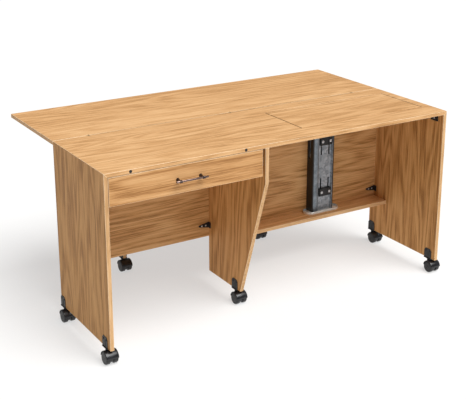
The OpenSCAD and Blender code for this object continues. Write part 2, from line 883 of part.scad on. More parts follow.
module lift_arms() {
    tip_y = cheek_y0 - arm_reach;
    color(black) for (s = [-1, 1]) {
        x0 = lift_x + s * arm_x;
        x1 = x0 + s * arm_t;
        x_flange = x0 + s * arm_flange_w;
        difference() {
            union() {
                slab_yz([[cheek_y1, cheek_z0], [cheek_y1, arm_top_z], [tip_y, arm_top_z],
                         [tip_y, arm_top_z - arm_tip_h], [cheek_y0, cheek_z0 + cheek_chamfer],
                         [cheek_y0 + cheek_chamfer / 2, cheek_z0]],
                        min(x0, x1), max(x0, x1));
                block(min(x0, x_flange), max(x0, x_flange), tip_y, opening_y1 - platform_gap - 1,
                      arm_top_z - fit_gap, under_top_z);
            }
            bar_x(pin_r + fit_gap, min(x0, x1) - through, max(x0, x1) + through, pin_y, pin_top_z);
            for (y = arm_screw_ys()) {
                bar_z(platform_screw_r + fit_gap, x0 + s * flange_screw_x, y,
                      arm_top_z - through, under_top_z + through);
            }
        }
    }
}

module platform_screws() {
    color(zinc) for (s = [-1, 1]) {
        for (y = arm_screw_ys()) {
            screw_z(lift_x + s * (arm_x + flange_screw_x), y, arm_top_z - fit_gap, platform_screw_r,
                    screw_head_r, screw_head_h, screw_l);
        }
    }
}

module lift_platform() {
    color(oak) difference() {
        block(opening_x0 + platform_gap, opening_x1 - platform_gap,
              opening_y0 + platform_gap, opening_y1 - platform_gap, under_top_z, table_h);
        for (s = [-1, 1]) {
            for (y = arm_screw_ys()) {
                bar_z(platform_screw_r + fit_gap, lift_x + s * (arm_x + flange_screw_x), y,
                      under_top_z - through, under_top_z + screw_l);
            }
        }
    }
}

// ---- Gate legs ----

// One knuckle range of a hinge that is centred on z
function knuckle_z(z, i) = z - gate_hinge_h / 2 + i * gate_hinge_h / 3;

// Fixed half: plate on the back panel and the outer knuckles. side is -1
// when the leg folds towards the left, 1 towards the right
module gate_fixed_half(pin_x, z, side) {
    x_near = pin_x + side * (knuckle_r + plate_clear);
    x_far = pin_x + side * gate_plate_w;
    difference() {
        union() {
            block(min(x_near, x_far), max(x_near, x_far), back_rear_y, back_rear_y + plate_t,
                  z - gate_hinge_h / 2, z + gate_hinge_h / 2);
            for (i = [0, 2]) {
                z0 = knuckle_z(z, i) + (i == 2 ? knuckle_gap : 0);
                z1 = knuckle_z(z, i + 1) - (i == 0 ? knuckle_gap : 0);
                bar_z(knuckle_r, pin_x, gate_pin_y, z0, z1);
                block(min(pin_x, x_near + side), max(pin_x, x_near + side),
                      back_rear_y, back_rear_y + plate_t, z0, z1);
            }
        }
        bar_z(gate_pin_r + fit_gap, pin_x, gate_pin_y, z - gate_hinge_h, z + gate_hinge_h);
    }
}

// Moving half: plate on the leg and the middle knuckle
module gate_moving_half(pin_x, z, side) {
    x0 = pin_x - side * knuckle_offset;
    x1 = x0 + side * plate_t;
    z0 = knuckle_z(z, 1) + knuckle_gap;
    z1 = knuckle_z(z, 2) - knuckle_gap;
    difference() {
        union() {
            block(min(x0, x1), max(x0, x1), gate_pin_y + knuckle_r + plate_clear, gate_pin_y + gate_plate_w,
                  z - gate_hinge_h / 2, z + gate_hinge_h / 2);
            block(min(x0, x1), max(x0, x1), gate_pin_y, gate_pin_y + knuckle_r + 1, z0, z1);
            bar_z(knuckle_r, pin_x, gate_pin_y, z0, z1);
        }
        bar_z(gate_pin_r + fit_gap, pin_x, gate_pin_y, z - gate_hinge_h, z + gate_hinge_h);
    }
}

function gate_pin_x(mid, side) = mid + side * (board_t / 2 + knuckle_offset);

module gate_hinge_plates() {
    color(zinc) for (z = gate_hinge_zs) {
        gate_fixed_half(gate_pin_x(gate_left_mid, -1), z, -1);
        gate_fixed_half(gate_pin_x(gate_right_mid, 1), z, 1);
    }
}

module gate_hinge_pins() {
    color("silver") for (z = gate_hinge_zs) {
        for (x = [gate_pin_x(gate_left_mid, -1), gate_pin_x(gate_right_mid, 1)]) {
            bar_z(gate_pin_r, x, gate_pin_y, z - gate_hinge_h / 2, z + gate_hinge_h / 2);
        }
    }
}

// Board that narrows towards its foot, with the caster below
module gate_leg(p) {
    difference() {
        slab_yz([[gate_y0, gate_hinge_edge_z], [gate_y0, gate_top_z], [gate_foot_y1, gate_top_z],
                 [gate_foot_y1, panel_foot_z], [gate_foot_y0, panel_foot_z],
                 [gate_foot_y0, panel_foot_z + gate_foot_h]],
                p[0] - board_t / 2, p[0] + board_t / 2);
        stem_bore(p);
    }
}

module gate_leg_left() {
    color(oak_side) gate_leg(GATE_LEFT_CASTER);
}

module gate_leg_right() {
    color(oak_side) gate_leg(GATE_RIGHT_CASTER);
}

module gate_left_fittings() {
    color(black) {
        for (z = gate_hinge_zs) gate_moving_half(gate_pin_x(gate_left_mid, -1), z, -1);
        caster_bracket(GATE_LEFT_CASTER);
    }
}

module gate_right_fittings() {
    color(black) {
        for (z = gate_hinge_zs) gate_moving_half(gate_pin_x(gate_right_mid, 1), z, 1);
        caster_bracket(GATE_RIGHT_CASTER);
    }
}

// ---- Casters ----

module stem_bore(p) {
    bar_z(stem_bore_r, p[0], p[1], panel_foot_z - through, panel_foot_z + stem_l + 3);
}

// Saddle that clasps the lower edge of a board and takes a caster stem
module caster_bracket(p) {
    translate([p[0], p[1], panel_foot_z]) {
        difference() {
            block(-bracket_reach, bracket_reach, -bracket_w / 2, bracket_w / 2, -bracket_plate_t, 0);
            bar_z(stem_r + fit_gap, 0, 0, -bracket_plate_t - through, through);
        }
        for (s = [-1, 1]) {
            x0 = s * board_t / 2;
            x1 = x0 + s * bracket_cheek_t;
            block(min(x0, x1), max(x0, x1), -bracket_w / 2, bracket_w / 2, -fit_gap, bracket_h);
            for (y = [-bolt_pitch / 2, bolt_pitch / 2]) {
                bar_x(bolt_head_r, min(x1, x1 + s * bolt_head_h), max(x1, x1 + s * bolt_head_h),
                      y, bracket_h - bolt_drop);
            }
        }
    }
}

module caster_brackets() {
    color(black) for (p = CARCASS_CASTERS) caster_bracket(p);
}

// Swivelling part: web between the wheels, hood over them, stem and axle
module caster_hood(p) {
    hood_in = wheel_r + hood_gap;
    hood_out = hood_in + hood_t;
    half_w = wheel_out + hood_end;
    boss_z1 = panel_foot_z - bracket_plate_t - boss_gap;
    color(black) translate([p[0], p[1] - caster_trail, 0]) {
        difference() {
            union() {
                bar_x(hood_out, -half_w, half_w, 0, wheel_r);
                bar_z(boss_r, 0, caster_trail, wheel_r, boss_z1);
            }
            bar_x(hood_in, -half_w - through, half_w + through, 0, wheel_r);
            block(-half_w - through, half_w + through, -hood_out - through, hood_out + through,
                  -hood_out, wheel_r + hood_lip);
        }
        bar_x(hub_r, -web_t / 2, web_t / 2, 0, wheel_r);
        intersection() {
            bar_x(hood_in + 1, -web_t / 2, web_t / 2, 0, wheel_r);
            block(-web_t, web_t, -hood_out, hood_out, wheel_r + hood_lip, panel_foot_z);
        }
        bar_z(stem_r, 0, caster_trail, boss_z1 - 2, panel_foot_z + stem_l);
        bar_x(axle_r, -wheel_out - axle_end, wheel_out + axle_end, 0, wheel_r);
    }
}

module caster_wheels(p) {
    color("#2A2A2C") translate([p[0], p[1] - caster_trail, 0]) for (s = [-1, 1]) {
        x0 = min(s * wheel_in, s * wheel_out);
        difference() {
            bar_x(wheel_r, x0, x0 + wheel_w, 0, wheel_r);
            bar_x(axle_r + fit_gap, x0 - through, x0 + wheel_w + through, 0, wheel_r);
        }
    }
}

main_top();
left_side_panel();
middle_panel();
right_side_panel();
back_panel();
lift_shelf();
panel_dowels();
corner_brackets();
top_brackets();
bracket_screws();
edge_caps();
runner_rails();
leaf_hinge_cups();
leaf_hinge_links();
leaf_cups();
quilting_leaf();
drawer_front();
drawer_left_side();
drawer_right_side();
drawer_back();
drawer_bottom();
runner_slides();
handle_posts();
handle_bar();
handle_screws();
lift_base_plate();
lift_column();
lift_guide_rails();
lift_clamp_blocks();
lift_block_screws();
gas_spring_cylinder();
gas_spring_foot();
gas_spring_rod();
lift_platform();
lift_arms();
lift_cross_pin();
slide_shoes();
platform_screws();
gate_hinge_plates();
gate_hinge_pins();
gate_leg_left();
gate_leg_right();
gate_left_fittings();
gate_right_fittings();
caster_brackets();
caster_hood(CARCASS_CASTERS[0]);  // caster_hood_left_front
caster_wheels(CARCASS_CASTERS[0]);  // caster_wheels_left_front
caster_hood(CARCASS_CASTERS[1]);  // caster_hood_left_rear
caster_wheels(CARCASS_CASTERS[1]);  // caster_wheels_left_rear
caster_hood(CARCASS_CASTERS[2]);  // caster_hood_middle
caster_wheels(CARCASS_CASTERS[2]);  // caster_wheels_middle
caster_hood(CARCASS_CASTERS[3]);  // caster_hood_right_front
caster_wheels(CARCASS_CASTERS[3]);  // caster_wheels_right_front
caster_hood(CARCASS_CASTERS[4]);  // caster_hood_right_rear
caster_wheels(CARCASS_CASTERS[4]);  // caster_wheels_right_rear
caster_hood(GATE_LEFT_CASTER);  // caster_hood_gate_left
caster_wheels(GATE_LEFT_CASTER);  // caster_wheels_gate_left
caster_hood(GATE_RIGHT_CASTER);  // caster_hood_gate_right
caster_wheels(GATE_RIGHT_CASTER);  // caster_wheels_gate_right
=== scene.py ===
"""Looks of a sewing table: every visible piece and its finish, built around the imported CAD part.

Sizes are in millimetres in the table's own frame: X along the front edge, Y to the rear, Z up from
the floor. They become metres only when a form is put into a mesh.
"""

import logging
import math
from dataclasses import dataclass, replace
from enum import Enum, IntEnum
from typing import Callable, Iterable, Sequence

import bmesh
import bpy
import numpy as np
from mathutils import Euler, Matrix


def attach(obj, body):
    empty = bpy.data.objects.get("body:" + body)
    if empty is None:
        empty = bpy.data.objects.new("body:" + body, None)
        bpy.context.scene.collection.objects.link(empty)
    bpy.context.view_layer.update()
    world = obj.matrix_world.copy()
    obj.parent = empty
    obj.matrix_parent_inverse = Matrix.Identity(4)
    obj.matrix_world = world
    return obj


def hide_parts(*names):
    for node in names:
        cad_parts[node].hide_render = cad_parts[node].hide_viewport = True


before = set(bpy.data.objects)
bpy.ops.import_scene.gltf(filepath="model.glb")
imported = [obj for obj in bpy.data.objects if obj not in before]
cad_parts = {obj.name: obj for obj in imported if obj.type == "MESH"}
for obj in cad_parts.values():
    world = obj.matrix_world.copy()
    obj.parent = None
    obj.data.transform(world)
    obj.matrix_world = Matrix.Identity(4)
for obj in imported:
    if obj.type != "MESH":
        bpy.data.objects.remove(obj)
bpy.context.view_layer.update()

LOG = logging.getLogger("sewing_table")
METRE = 0.001
SMOOTH_ANGLE = math.radians(35)
RIM = 1.1
HINGED_RIM = 1.0
FLAT_ANGLE = math.radians(0.5)
HINGED_INNER = 0.4
SAME_PLACE = 1e-6
FACES_END = 0.8

Pair = tuple[float, float]
Triple = tuple[float, float, float]
Box = tuple[Pair, ...]
Outline = Sequence[Pair]


class Axis(IntEnum):
    """Directions of the table's frame."""

    X = 0
    Y = 1
    Z = 2


class Slot(str, Enum):
    """The record's material slots."""

    OAK_BOARD = "oak_board"
    OAK_UPRIGHT = "oak_upright"
    DRAWER_BOARD = "drawer_board"
    BLACK_STEEL = "black_steel"
    BLACK_PLASTIC = "black_plastic"
    WHEEL_NYLON = "wheel_nylon"
    WHITE_NYLON = "white_nylon"
    GALVANISED = "galvanised"
    BRIGHT_STEEL = "bright_steel"
    CHROME_PLATE = "chrome_plate"
    DARK_BRONZE = "dark_bronze"


# ---- Forms ----


@dataclass(frozen=True)
class Form:
    """A closed surface.

    points holds one row of X, Y, Z per point, and faces holds arrays of point numbers, one row
    per face and one array for each number of corners.
    """

    points: np.ndarray
    faces: tuple[np.ndarray, ...]

    def volume(self) -> float:
        """Signed volume: each face is a fan of triangles, each with a tetrahedron to the origin."""
        total = 0.0
        for group in self.faces:
            corner = self.points[group]
            first = corner[:, :1]
            triple = np.cross(corner[:, 1:-1], corner[:, 2:])
            total += float((first * triple).sum()) / 6.0
        return total

    def facing_out(self) -> "Form":
        """The same form with its faces turned so that their normals point outwards."""
        if self.volume() >= 0.0:
            return self
        return Form(self.points, tuple(group[:, ::-1] for group in self.faces))


def joined(forms: Iterable[Form]) -> Form:
    """Several forms as one, without merging their points."""
    points: list[np.ndarray] = []
    faces: list[np.ndarray] = []
    count = 0
    for form in forms:
        points.append(form.points)
        faces.extend(group + count for group in form.faces)
        count += len(form.points)
    return Form(np.concatenate(points), tuple(faces))


def welded(points: np.ndarray, quads: np.ndarray) -> Form:
    """Merges equal points; a quad that loses one corner becomes a triangle.

    Args:
        points: Rows of X, Y, Z.
        quads: Rows of four point numbers.

    Returns:
        The closed form, facing outwards.
    """
    kept, number = np.unique(np.round(points, 5), axis=0, return_inverse=True)
    faces = number.reshape(-1)[quads]
    repeated = faces == np.roll(faces, -1, axis=1)
    lost = repeated.sum(axis=1)
    triangles = faces[lost == 1][~repeated[lost == 1]].reshape(-1, 3)
    return Form(kept, (faces[lost == 0], triangles)).facing_out()


def grid_quads(rows: int, columns: int, rows_wrap: bool, columns_wrap: bool) -> np.ndarray:
    """Quads between the neighbours of a grid whose points are numbered row by row."""
    number = np.arange(rows * columns).reshape(rows, columns)
    if rows_wrap:
        number = np.vstack([number, number[:1]])
    if columns_wrap:
        number = np.hstack([number, number[:, :1]])
    corners = [number[:-1, :-1], number[1:, :-1], number[1:, 1:], number[:-1, 1:]]
    return np.stack(corners, axis=-1).reshape(-1, 4)


def revolved(
    profile: Outline, axis: Axis, centre: Triple, segments: int = 48, ring: bool = False,
) -> Form:
    """Turns a profile round an axis: point = centre + along + radius (cos a, sin a).

    Args:
        profile: Rows of radius and distance along the axis. It starts and ends on the axis, or is
            a closed ring round it.
        axis: The axis it turns round.
        centre: The point of the axis from which the distances count.
        segments: Steps of the full turn.
        ring: True when the profile closes on itself.

    Returns:
        The closed form.
    """
    radius, along = np.asarray(profile, float).T
    angle = np.linspace(0.0, 2.0 * math.pi, segments, endpoint=False)[:, None]
    grid = np.empty((segments, len(radius), 3))
    grid[..., axis] = centre[axis] + along
    grid[..., (axis + 1) % 3] = centre[(axis + 1) % 3] + radius * np.cos(angle)
    grid[..., (axis + 2) % 3] = centre[(axis + 2) % 3] + radius * np.sin(angle)
    return welded(grid.reshape(-1, 3), grid_quads(segments, len(radius), True, ring))


def prism(outline: Outline, axis: Axis, low: float, high: float) -> Form:
    """An outline moved straight along an axis between two planes.

    Args:
        outline: Corners on the two other axes, in the order X, Y, Z.
        axis: The direction of the sweep.
        low: The first plane.
        high: The second plane.

    Returns:
        The closed form, with one face at each end.
    """
    flat = np.asarray(outline, float)
    count = len(flat)
    points = np.empty((2, count, 3))
    points[..., [i for i in range(3) if i != axis]] = flat
    points[0, :, axis] = low
    points[1, :, axis] = high
    ring = np.arange(count)
    following = np.roll(ring, -1)
    sides = np.stack([ring, following, following + count, ring + count], axis=1)
    ends = np.stack([ring[::-1], ring + count])
    return Form(points.reshape(-1, 3), (sides, ends)).facing_out()


def swept(section: np.ndarray) -> Form:
    """Joins equal rings of points and closes the first and the last one with a face.

    Args:
        section: Array of rings x points x 3; each ring closes on itself.

    Returns:
        The closed form.
    """
    rings, count = section.shape[:2]
    quads = grid_quads(rings, count, False, True)
    points = section.reshape(-1, 3)
    ends = np.stack([np.arange(count)[::-1], np.arange(count) + (rings - 1) * count])
    return Form(points, (quads, ends)).facing_out()


def cell_solid(
    planes: tuple[Sequence[float], Sequence[float], Sequence[float]], holes: Iterable[Box] = (),
    solids: Iterable[Box] | None = None,
) -> Form:
    """A solid made of the cells of a rectangular grid, with its outer faces only.

    A cell belongs to a box when its middle lies in it. A face is drawn where a filled cell has an
    empty neighbour, for all cells at once.

    Args:
        planes: The grid's planes along X, Y and Z, in any order.
        holes: Boxes of ((x0, x1), (y0, y1), (z0, z1)) that are left empty.
        solids: Boxes that are filled before the holes are cut; the whole grid when None.

    Returns:
        The closed form.
    """
    lines = [np.unique(np.round(np.asarray(p, float), 4)) for p in planes]
    middle = np.meshgrid(*[(p[1:] + p[:-1]) / 2 for p in lines], indexing="ij")

    def inside(box: Box) -> np.ndarray:
        """The cells whose middles lie in a box."""
        tests = [(m > side[0]) & (m < side[1]) for m, side in zip(middle, box)]
        return tests[0] & tests[1] & tests[2]

    full = np.full(middle[0].shape, solids is None)
    for box in solids or ():
        full |= inside(box)
    for box in holes:
        full &= ~inside(box)
    padded = np.pad(full, 1)
    quads = []
    for axis in range(3):
        for side in (0, 1):
            beside = np.roll(padded, 1 - 2 * side, axis)[1:-1, 1:-1, 1:-1]
            corner = np.zeros((4, 3), int)
            corner[:, axis] = side
            corner[[1, 2], (axis + 1) % 3] = 1
            corner[[2, 3], (axis + 2) % 3] = 1
            order = corner if side else corner[::-1]
            quads.append(np.argwhere(full & ~beside)[:, None, :] + order)
    cells = np.concatenate(quads)
    shape = [len(p) for p in lines]
    number = np.ravel_multi_index(tuple(np.moveaxis(cells, -1, 0)), shape)
    used, faces = np.unique(number, return_inverse=True)
    place = np.unravel_index(used, shape)
    points = np.stack([line[index] for line, index in zip(lines, place)], axis=1)
    return Form(points, (faces.reshape(-1, 4),))


def board(x: Pair, y: Pair, z: Pair) -> Form:
    """A plain cuboid between three pairs of planes."""
    return cell_solid((x, y, z))


def rounded(corners: Outline, radius: float, steps: int = 6) -> np.ndarray:
    """Replaces each corner of an outline by an arc that touches both of its sides.

    The arc's middle lies on the corner's bisector at radius / sin(half angle), and the arc's
    points are weighted sums of its two end arms.

    Args:
        corners: The outline's corners.
        radius: Radius of every arc.
        steps: Points on one arc.

    Returns:
        The rounded outline, one row per point.
    """
    point = np.asarray(corners, float)

    def unit(vector: np.ndarray) -> np.ndarray:
        """Vectors of length one."""
        return vector / np.linalg.norm(vector, axis=1, keepdims=True)

    back = unit(np.roll(point, 1, axis=0) - point)
    ahead = unit(np.roll(point, -1, axis=0) - point)
    half = 0.5 * np.arccos(np.clip((back * ahead).sum(axis=1), -1.0, 1.0))[:, None]
    start = point + back * radius / np.tan(half)
    end = point + ahead * radius / np.tan(half)
    middle = point + unit(back + ahead) * radius / np.sin(half)
    turn = (math.pi - 2.0 * half)[:, None, :]
    step = np.linspace(0.0, 1.0, steps)[None, :, None]
    first = np.sin((1.0 - step) * turn) / np.sin(turn) * (start - middle)[:, None, :]
    last = np.sin(step * turn) / np.sin(turn) * (end - middle)[:, None, :]
    return (middle[:, None, :] + first + last).reshape(-1, 2)


def rectangle(x0: float, x1: float, y0: float, y1: float) -> list[Pair]:
    """The four corners of a rectangle, in order."""
    return [(x0, y0), (x1, y0), (x1, y1), (x0, y1)]


def ordered(first: float, second: float) -> Pair:
    """Two values, the lower one first."""
    return (min(first, second), max(first, second))


def pan_head(
    axis: Axis, at: Triple, radius: float, height: float, inward: int
) -> Form:
    """A domed screw head with a round recess, resting on a face.

    Args:
        axis: The screw's axis.
        at: Middle of the head's seat.
        radius: The head's radius.
        height: The head's height.
        inward: 1 when the screw points along the axis, -1 against it.

    Returns:
        The closed form.
    """
    socket = 0.36 * radius
    profile = [
        (0.0, 0.2), (radius, 0.2), (radius, -0.45 * height), (0.86 * radius, -0.8 * height),
        (0.6 * radius, -height), (socket, -height), (socket, -0.45 * height), (0.0, -0.3 * height),
    ]
    return revolved([(r, inward * d) for r, d in profile], axis, at, segments=24)


def rod(
    axis: Axis, at: Triple, radius: float, low: float, high: float
) -> Form:
    """A round bar with softened ends, from low to high along its axis, counted from at."""
    soft = min(0.6, 0.2 * radius)
    profile = [
        (0.0, low), (radius - soft, low), (radius, low + soft), (radius, high - soft),
        (radius - soft, high), (0.0, high),
    ]
    return revolved(profile, axis, at)


# ---- Finishes ----


class Graph:
    """A new material with one shader, and short ways to add nodes to it."""

    def __init__(self, name: str) -> None:
        """Makes the material, its shader and its output."""
        self.material = bpy.data.materials.new(name)
        self.material.use_nodes = True
        self.tree = self.material.node_tree
        self.tree.nodes.clear()
        self.shader = self.tree.nodes.new("ShaderNodeBsdfPrincipled")
        output = self.tree.nodes.new("ShaderNodeOutputMaterial")
        self.tree.links.new(self.shader.outputs["BSDF"], output.inputs["Surface"])
        self.place = self.tree.nodes.new("ShaderNodeTexCoord").outputs["Object"]

    def put(self, node: bpy.types.Node, inputs: dict[str | int, object]) -> None:
        """Links sockets and sets plain values on a node's inputs."""
        for key, value in inputs.items():
            if isinstance(value, bpy.types.NodeSocket):
                self.tree.links.new(value, node.inputs[key])
            else:
                node.inputs[key].default_value = value

    def node(
        self, kind: str, inputs: dict[str | int, object], **settings: object
    ) -> bpy.types.Node:
        """Adds one node.

        Args:
            kind: The node's type, without the prefix ShaderNode.
            inputs: Sockets to link and values to set, by input.
            **settings: The node's own properties.

        Returns:
            The new node.
        """
        made = self.tree.nodes.new("ShaderNode" + kind)
        for key, value in settings.items():
            setattr(made, key, value)
        self.put(made, inputs)
        return made

    def scaled(self, scale: Sequence[float], shift: Sequence[float]) -> bpy.types.NodeSocket:
        """The place on the piece, moved by shift and then multiplied by scale per axis."""
        moved = self.node("VectorMath", {0: self.place, 1: tuple(shift)}, operation="ADD")
        inputs = {0: moved.outputs[0], 1: tuple(scale)}
        return self.node("VectorMath", inputs, operation="MULTIPLY").outputs[0]

    def noise(
        self, vector: bpy.types.NodeSocket, scale: float, detail: float = 2.0, rough: float = 0.5
    ) -> bpy.types.NodeSocket:
        """Noise between 0 and 1 at a place."""
        inputs = {"Vector": vector, "Scale": scale, "Detail": detail, "Roughness": rough}
        return self.node("TexNoise", inputs).outputs[0]

    def ramp(
        self, value: bpy.types.NodeSocket, low: float, high: float, to_low: float, to_high: float
    ) -> bpy.types.NodeSocket:
        """Maps low..high to to_low..to_high and holds the ends."""
        inputs = {0: value, 1: low, 2: high, 3: to_low, 4: to_high}
        return self.node("MapRange", inputs, clamp=True).outputs[0]

    def math(
        self, operation: str, first: bpy.types.NodeSocket, second: object = 0.0
    ) -> bpy.types.NodeSocket:
        """One arithmetic step."""
        return self.node("Math", {0: first, 1: second}, operation=operation).outputs[0]

    def colours(
        self, value: bpy.types.NodeSocket, stops: Sequence[tuple[float, Sequence[float]]]
    ) -> bpy.types.NodeSocket:
        """A colour ramp through stops of (position, linear colour)."""
        made = self.node("ValToRGB", {0: value})
        ramp = made.color_ramp
        while len(ramp.elements) < len(stops):
            ramp.elements.new(0.5)
        for element, (position, colour) in zip(ramp.elements, stops):
            element.position = position
            element.color = (*colour, 1.0)
        return made.outputs[0]

    def darkened(
        self, colour: bpy.types.NodeSocket, amount: bpy.types.NodeSocket, shade: Sequence[float]
    ) -> bpy.types.NodeSocket:
        """Multiplies a colour by a shade where amount is 1."""
        inputs = {"Factor": amount, 6: colour, 7: (*shade, 1.0)}
        return self.node("Mix", inputs, data_type="RGBA", blend_type="MULTIPLY").outputs[2]

    def bump(self, height: bpy.types.NodeSocket, strength: float, distance: float) -> None:
        """Presses a height pattern into the surface."""
        inputs = {"Height": height, "Strength": strength, "Distance": distance}
        made = self.node("Bump", inputs)
        self.tree.links.new(made.outputs[0], self.shader.inputs["Normal"])


class Finish:
    """A finish that makes its material once and keeps it."""

    made: dict[str, bpy.types.Material] = {}
    name: str

    def build(self) -> bpy.types.Material:
        """Makes the material."""
        raise NotImplementedError

    def material(self) -> bpy.types.Material:
        """The finish's material, made at the first call."""
        if self.name not in Finish.made:
            Finish.made[self.name] = self.build()
        return Finish.made[self.name]


@dataclass(frozen=True)
class WoodFinish(Finish):
    """Satin wood-grain laminate: growth figure, streaks and pores drawn along one axis."""

    name: str
    grain: Axis
    dark: Triple = (0.41, 0.205, 0.074)
    middle: Triple = (0.655, 0.365, 0.158)
    light: Triple = (0.80, 0.505, 0.258)
    shift: Triple = (0.0, 0.0, 0.0)
    figure: float = 0.16
    roughness: float = 0.46

    def stretched(self, graph: Graph, along: float, across: float) -> bpy.types.NodeSocket:
        """The place on the piece, drawn out along the grain."""
        scale = [across] * 3
        scale[self.grain] = along
        return graph.scaled(scale, self.shift)

    def build(self) -> bpy.types.Material:
        """Figure, streaks, pores and a slow change of tone, as colour, gloss and relief."""
        graph = Graph(self.name)
        slow = graph.noise(self.stretched(graph, 0.9, 2.6), 1.0, 2.0)
        growth = graph.noise(self.stretched(graph, 0.62, 5.2), 1.0, 2.5, 0.42)
        rings = graph.math("SINE", graph.math("MULTIPLY", growth, 120.0))
        rings = graph.ramp(rings, -1.0, 1.0, 0.0, 1.0)
        streaks = graph.noise(self.stretched(graph, 3.6, 210.0), 1.0, 3.0, 0.68)
        flecks = graph.noise(self.stretched(graph, 8.0, 340.0), 1.0, 2.0, 0.6)
        fibres = graph.noise(self.stretched(graph, 14.0, 800.0), 1.0, 2.0, 0.55)
        pores = graph.noise(self.stretched(graph, 26.0, 1500.0), 1.0, 1.0)
        pores = graph.ramp(pores, 0.58, 0.70, 0.0, 1.0)
        tone = graph.math("MULTIPLY", rings, self.figure)
        for layer, share in ((streaks, 0.95), (flecks, 0.75), (fibres, 0.25), (slow, 0.35)):
            tone = graph.math("ADD", tone, graph.math("MULTIPLY", layer, share))
        top = 2.3 + self.figure
        tone = graph.ramp(tone, 0.40 * top, 0.61 * top, 0.0, 1.0)
        stops = [(0.0, self.dark), (0.45, self.middle), (1.0, self.light)]
        colour = graph.colours(tone, stops)
        dashes = graph.math("MULTIPLY", pores, graph.ramp(rings, 0.2, 1.0, 0.55, 0.15))
        colour = graph.darkened(colour, dashes, (0.45, 0.36, 0.30))
        graph.put(graph.shader, {"Base Color": colour, "Specular IOR Level": 0.14})
        gloss = graph.ramp(streaks, 0.3, 0.7, self.roughness - 0.06, self.roughness + 0.08)
        graph.put(graph.shader, {"Roughness": gloss})
        relief = graph.math("SUBTRACT", graph.math("MULTIPLY", fibres, 0.6), pores)
        graph.bump(relief, 0.25, 0.0002)
        return graph.material


@dataclass(frozen=True)
class MetalFinish(Finish):
    """Bare or plated metal with soft blotches, fine brushing and a little tarnish."""

    name: str
    dark: Triple
    light: Triple
    roughness: float = 0.3
    spread: float = 0.1
    spangle: float = 0.0
    brushed: Axis | None = None
    metallic: float = 1.0

    def build(self) -> bpy.types.Material:
        """Blotches or crystals set the tone, and brushing or grain sets the gloss."""
        graph = Graph(self.name)
        blotches = graph.noise(graph.place, 38.0, 4.0, 0.6)
        tone = blotches
        if self.spangle:
            inputs = {"Vector": graph.place, "Scale": self.spangle}
            crystal = graph.node("TexVoronoi", inputs, feature="F1").outputs["Color"]
            grey = graph.node("RGBToBW", {0: crystal}).outputs[0]
            halves = [graph.math("MULTIPLY", part, 0.5) for part in (blotches, grey)]
            tone = graph.math("ADD", *halves)
        colour = graph.colours(tone, [(0.28, self.dark), (0.72, self.light)])
        scale = [600.0] * 3
        if self.brushed is not None:
            scale = [1400.0] * 3
            scale[self.brushed] = 18.0
        lines = graph.noise(graph.scaled(scale, (0.0, 0.0, 0.0)), 1.0, 2.0)
        half = self.spread / 2
        gloss = graph.ramp(lines, 0.3, 0.7, self.roughness - half, self.roughness + half)
        inputs = {"Base Color": colour, "Metallic": self.metallic, "Roughness": gloss}
        graph.put(graph.shader, inputs)
        graph.bump(lines, 0.12, 0.0001)
        return graph.material


@dataclass(frozen=True)
class CoatFinish(Finish):
    """Powder-coated steel or moulded plastic: one colour, a fine grain and worn, dusty patches."""

    name: str
    colour: Triple
    dusty: Triple
    roughness: float = 0.4
    grain: float = 900.0
    relief: float = 0.2

    def build(self) -> bpy.types.Material:
        """A slow dust pattern sets the colour and the gloss, and a fine grain sets the relief."""
        graph = Graph(self.name)
        dust = graph.noise(graph.place, 24.0, 5.0, 0.65)
        fine = graph.noise(graph.place, self.grain, 2.0)
        colour = graph.colours(dust, [(0.42, self.colour), (0.85, self.dusty)])
        gloss = graph.ramp(dust, 0.3, 0.75, self.roughness, self.roughness + 0.16)
        graph.put(graph.shader, {"Base Color": colour, "Roughness": gloss})
        graph.bump(fine, self.relief, 0.0002)
        return graph.material


OAK_TOP = WoodFinish("oak_top", Axis.X, shift=(3.1, 0.4, 0.2), roughness=0.4)
OAK_LEAF = WoodFinish("oak_leaf", Axis.X, shift=(8.4, 5.2, 1.3), roughness=0.4)
OAK_PLATFORM = WoodFinish("oak_platform", Axis.X, shift=(5.6, 2.9, 4.1), roughness=0.4)
OAK_FRONT = WoodFinish(
    "oak_front", Axis.X, dark=(0.34, 0.158, 0.052), middle=(0.57, 0.297, 0.117),
    light=(0.70, 0.41, 0.19), shift=(1.7, 7.3, 3.3), figure=0.26,
)
OAK_BACK = WoodFinish(
    "oak_back", Axis.X, dark=(0.37, 0.178, 0.060), middle=(0.63, 0.335, 0.128),
    light=(0.78, 0.47, 0.22), shift=(6.9, 3.8, 9.2), figure=0.2,
)
OAK_SHELF = WoodFinish("oak_shelf", Axis.X, shift=(4.4, 9.1, 2.6))


def upright_oak(name: str, shift: Triple, figure: float = 0.2) -> WoodFinish:
    """The slightly deeper oak of the upright boards, with its grain running up."""
    return WoodFinish(
        name, Axis.Z, dark=(0.29, 0.128, 0.036), middle=(0.56, 0.282, 0.096),
        light=(0.71, 0.40, 0.160), shift=shift, figure=figure, roughness=0.54,
    )


OAK_LEFT = upright_oak("oak_left", (2.2, 1.4, 6.5))
OAK_MIDDLE = upright_oak("oak_middle", (7.7, 4.6, 3.9), 0.26)
OAK_RIGHT = upright_oak("oak_right", (9.3, 8.8, 0.7), 0.28)
OAK_GATE = upright_oak("oak_gate", (0.9, 6.1, 5.8))


def edge_band(name: str, grain: Axis, shift: Triple) -> WoodFinish:
    """A paler, plainer oak for the strips glued to cut edges."""
    return WoodFinish(
        name, grain, dark=(0.46, 0.255, 0.11), middle=(0.65, 0.385, 0.18), light=(0.76, 0.50, 0.27),
        shift=shift, figure=0.08,
    )


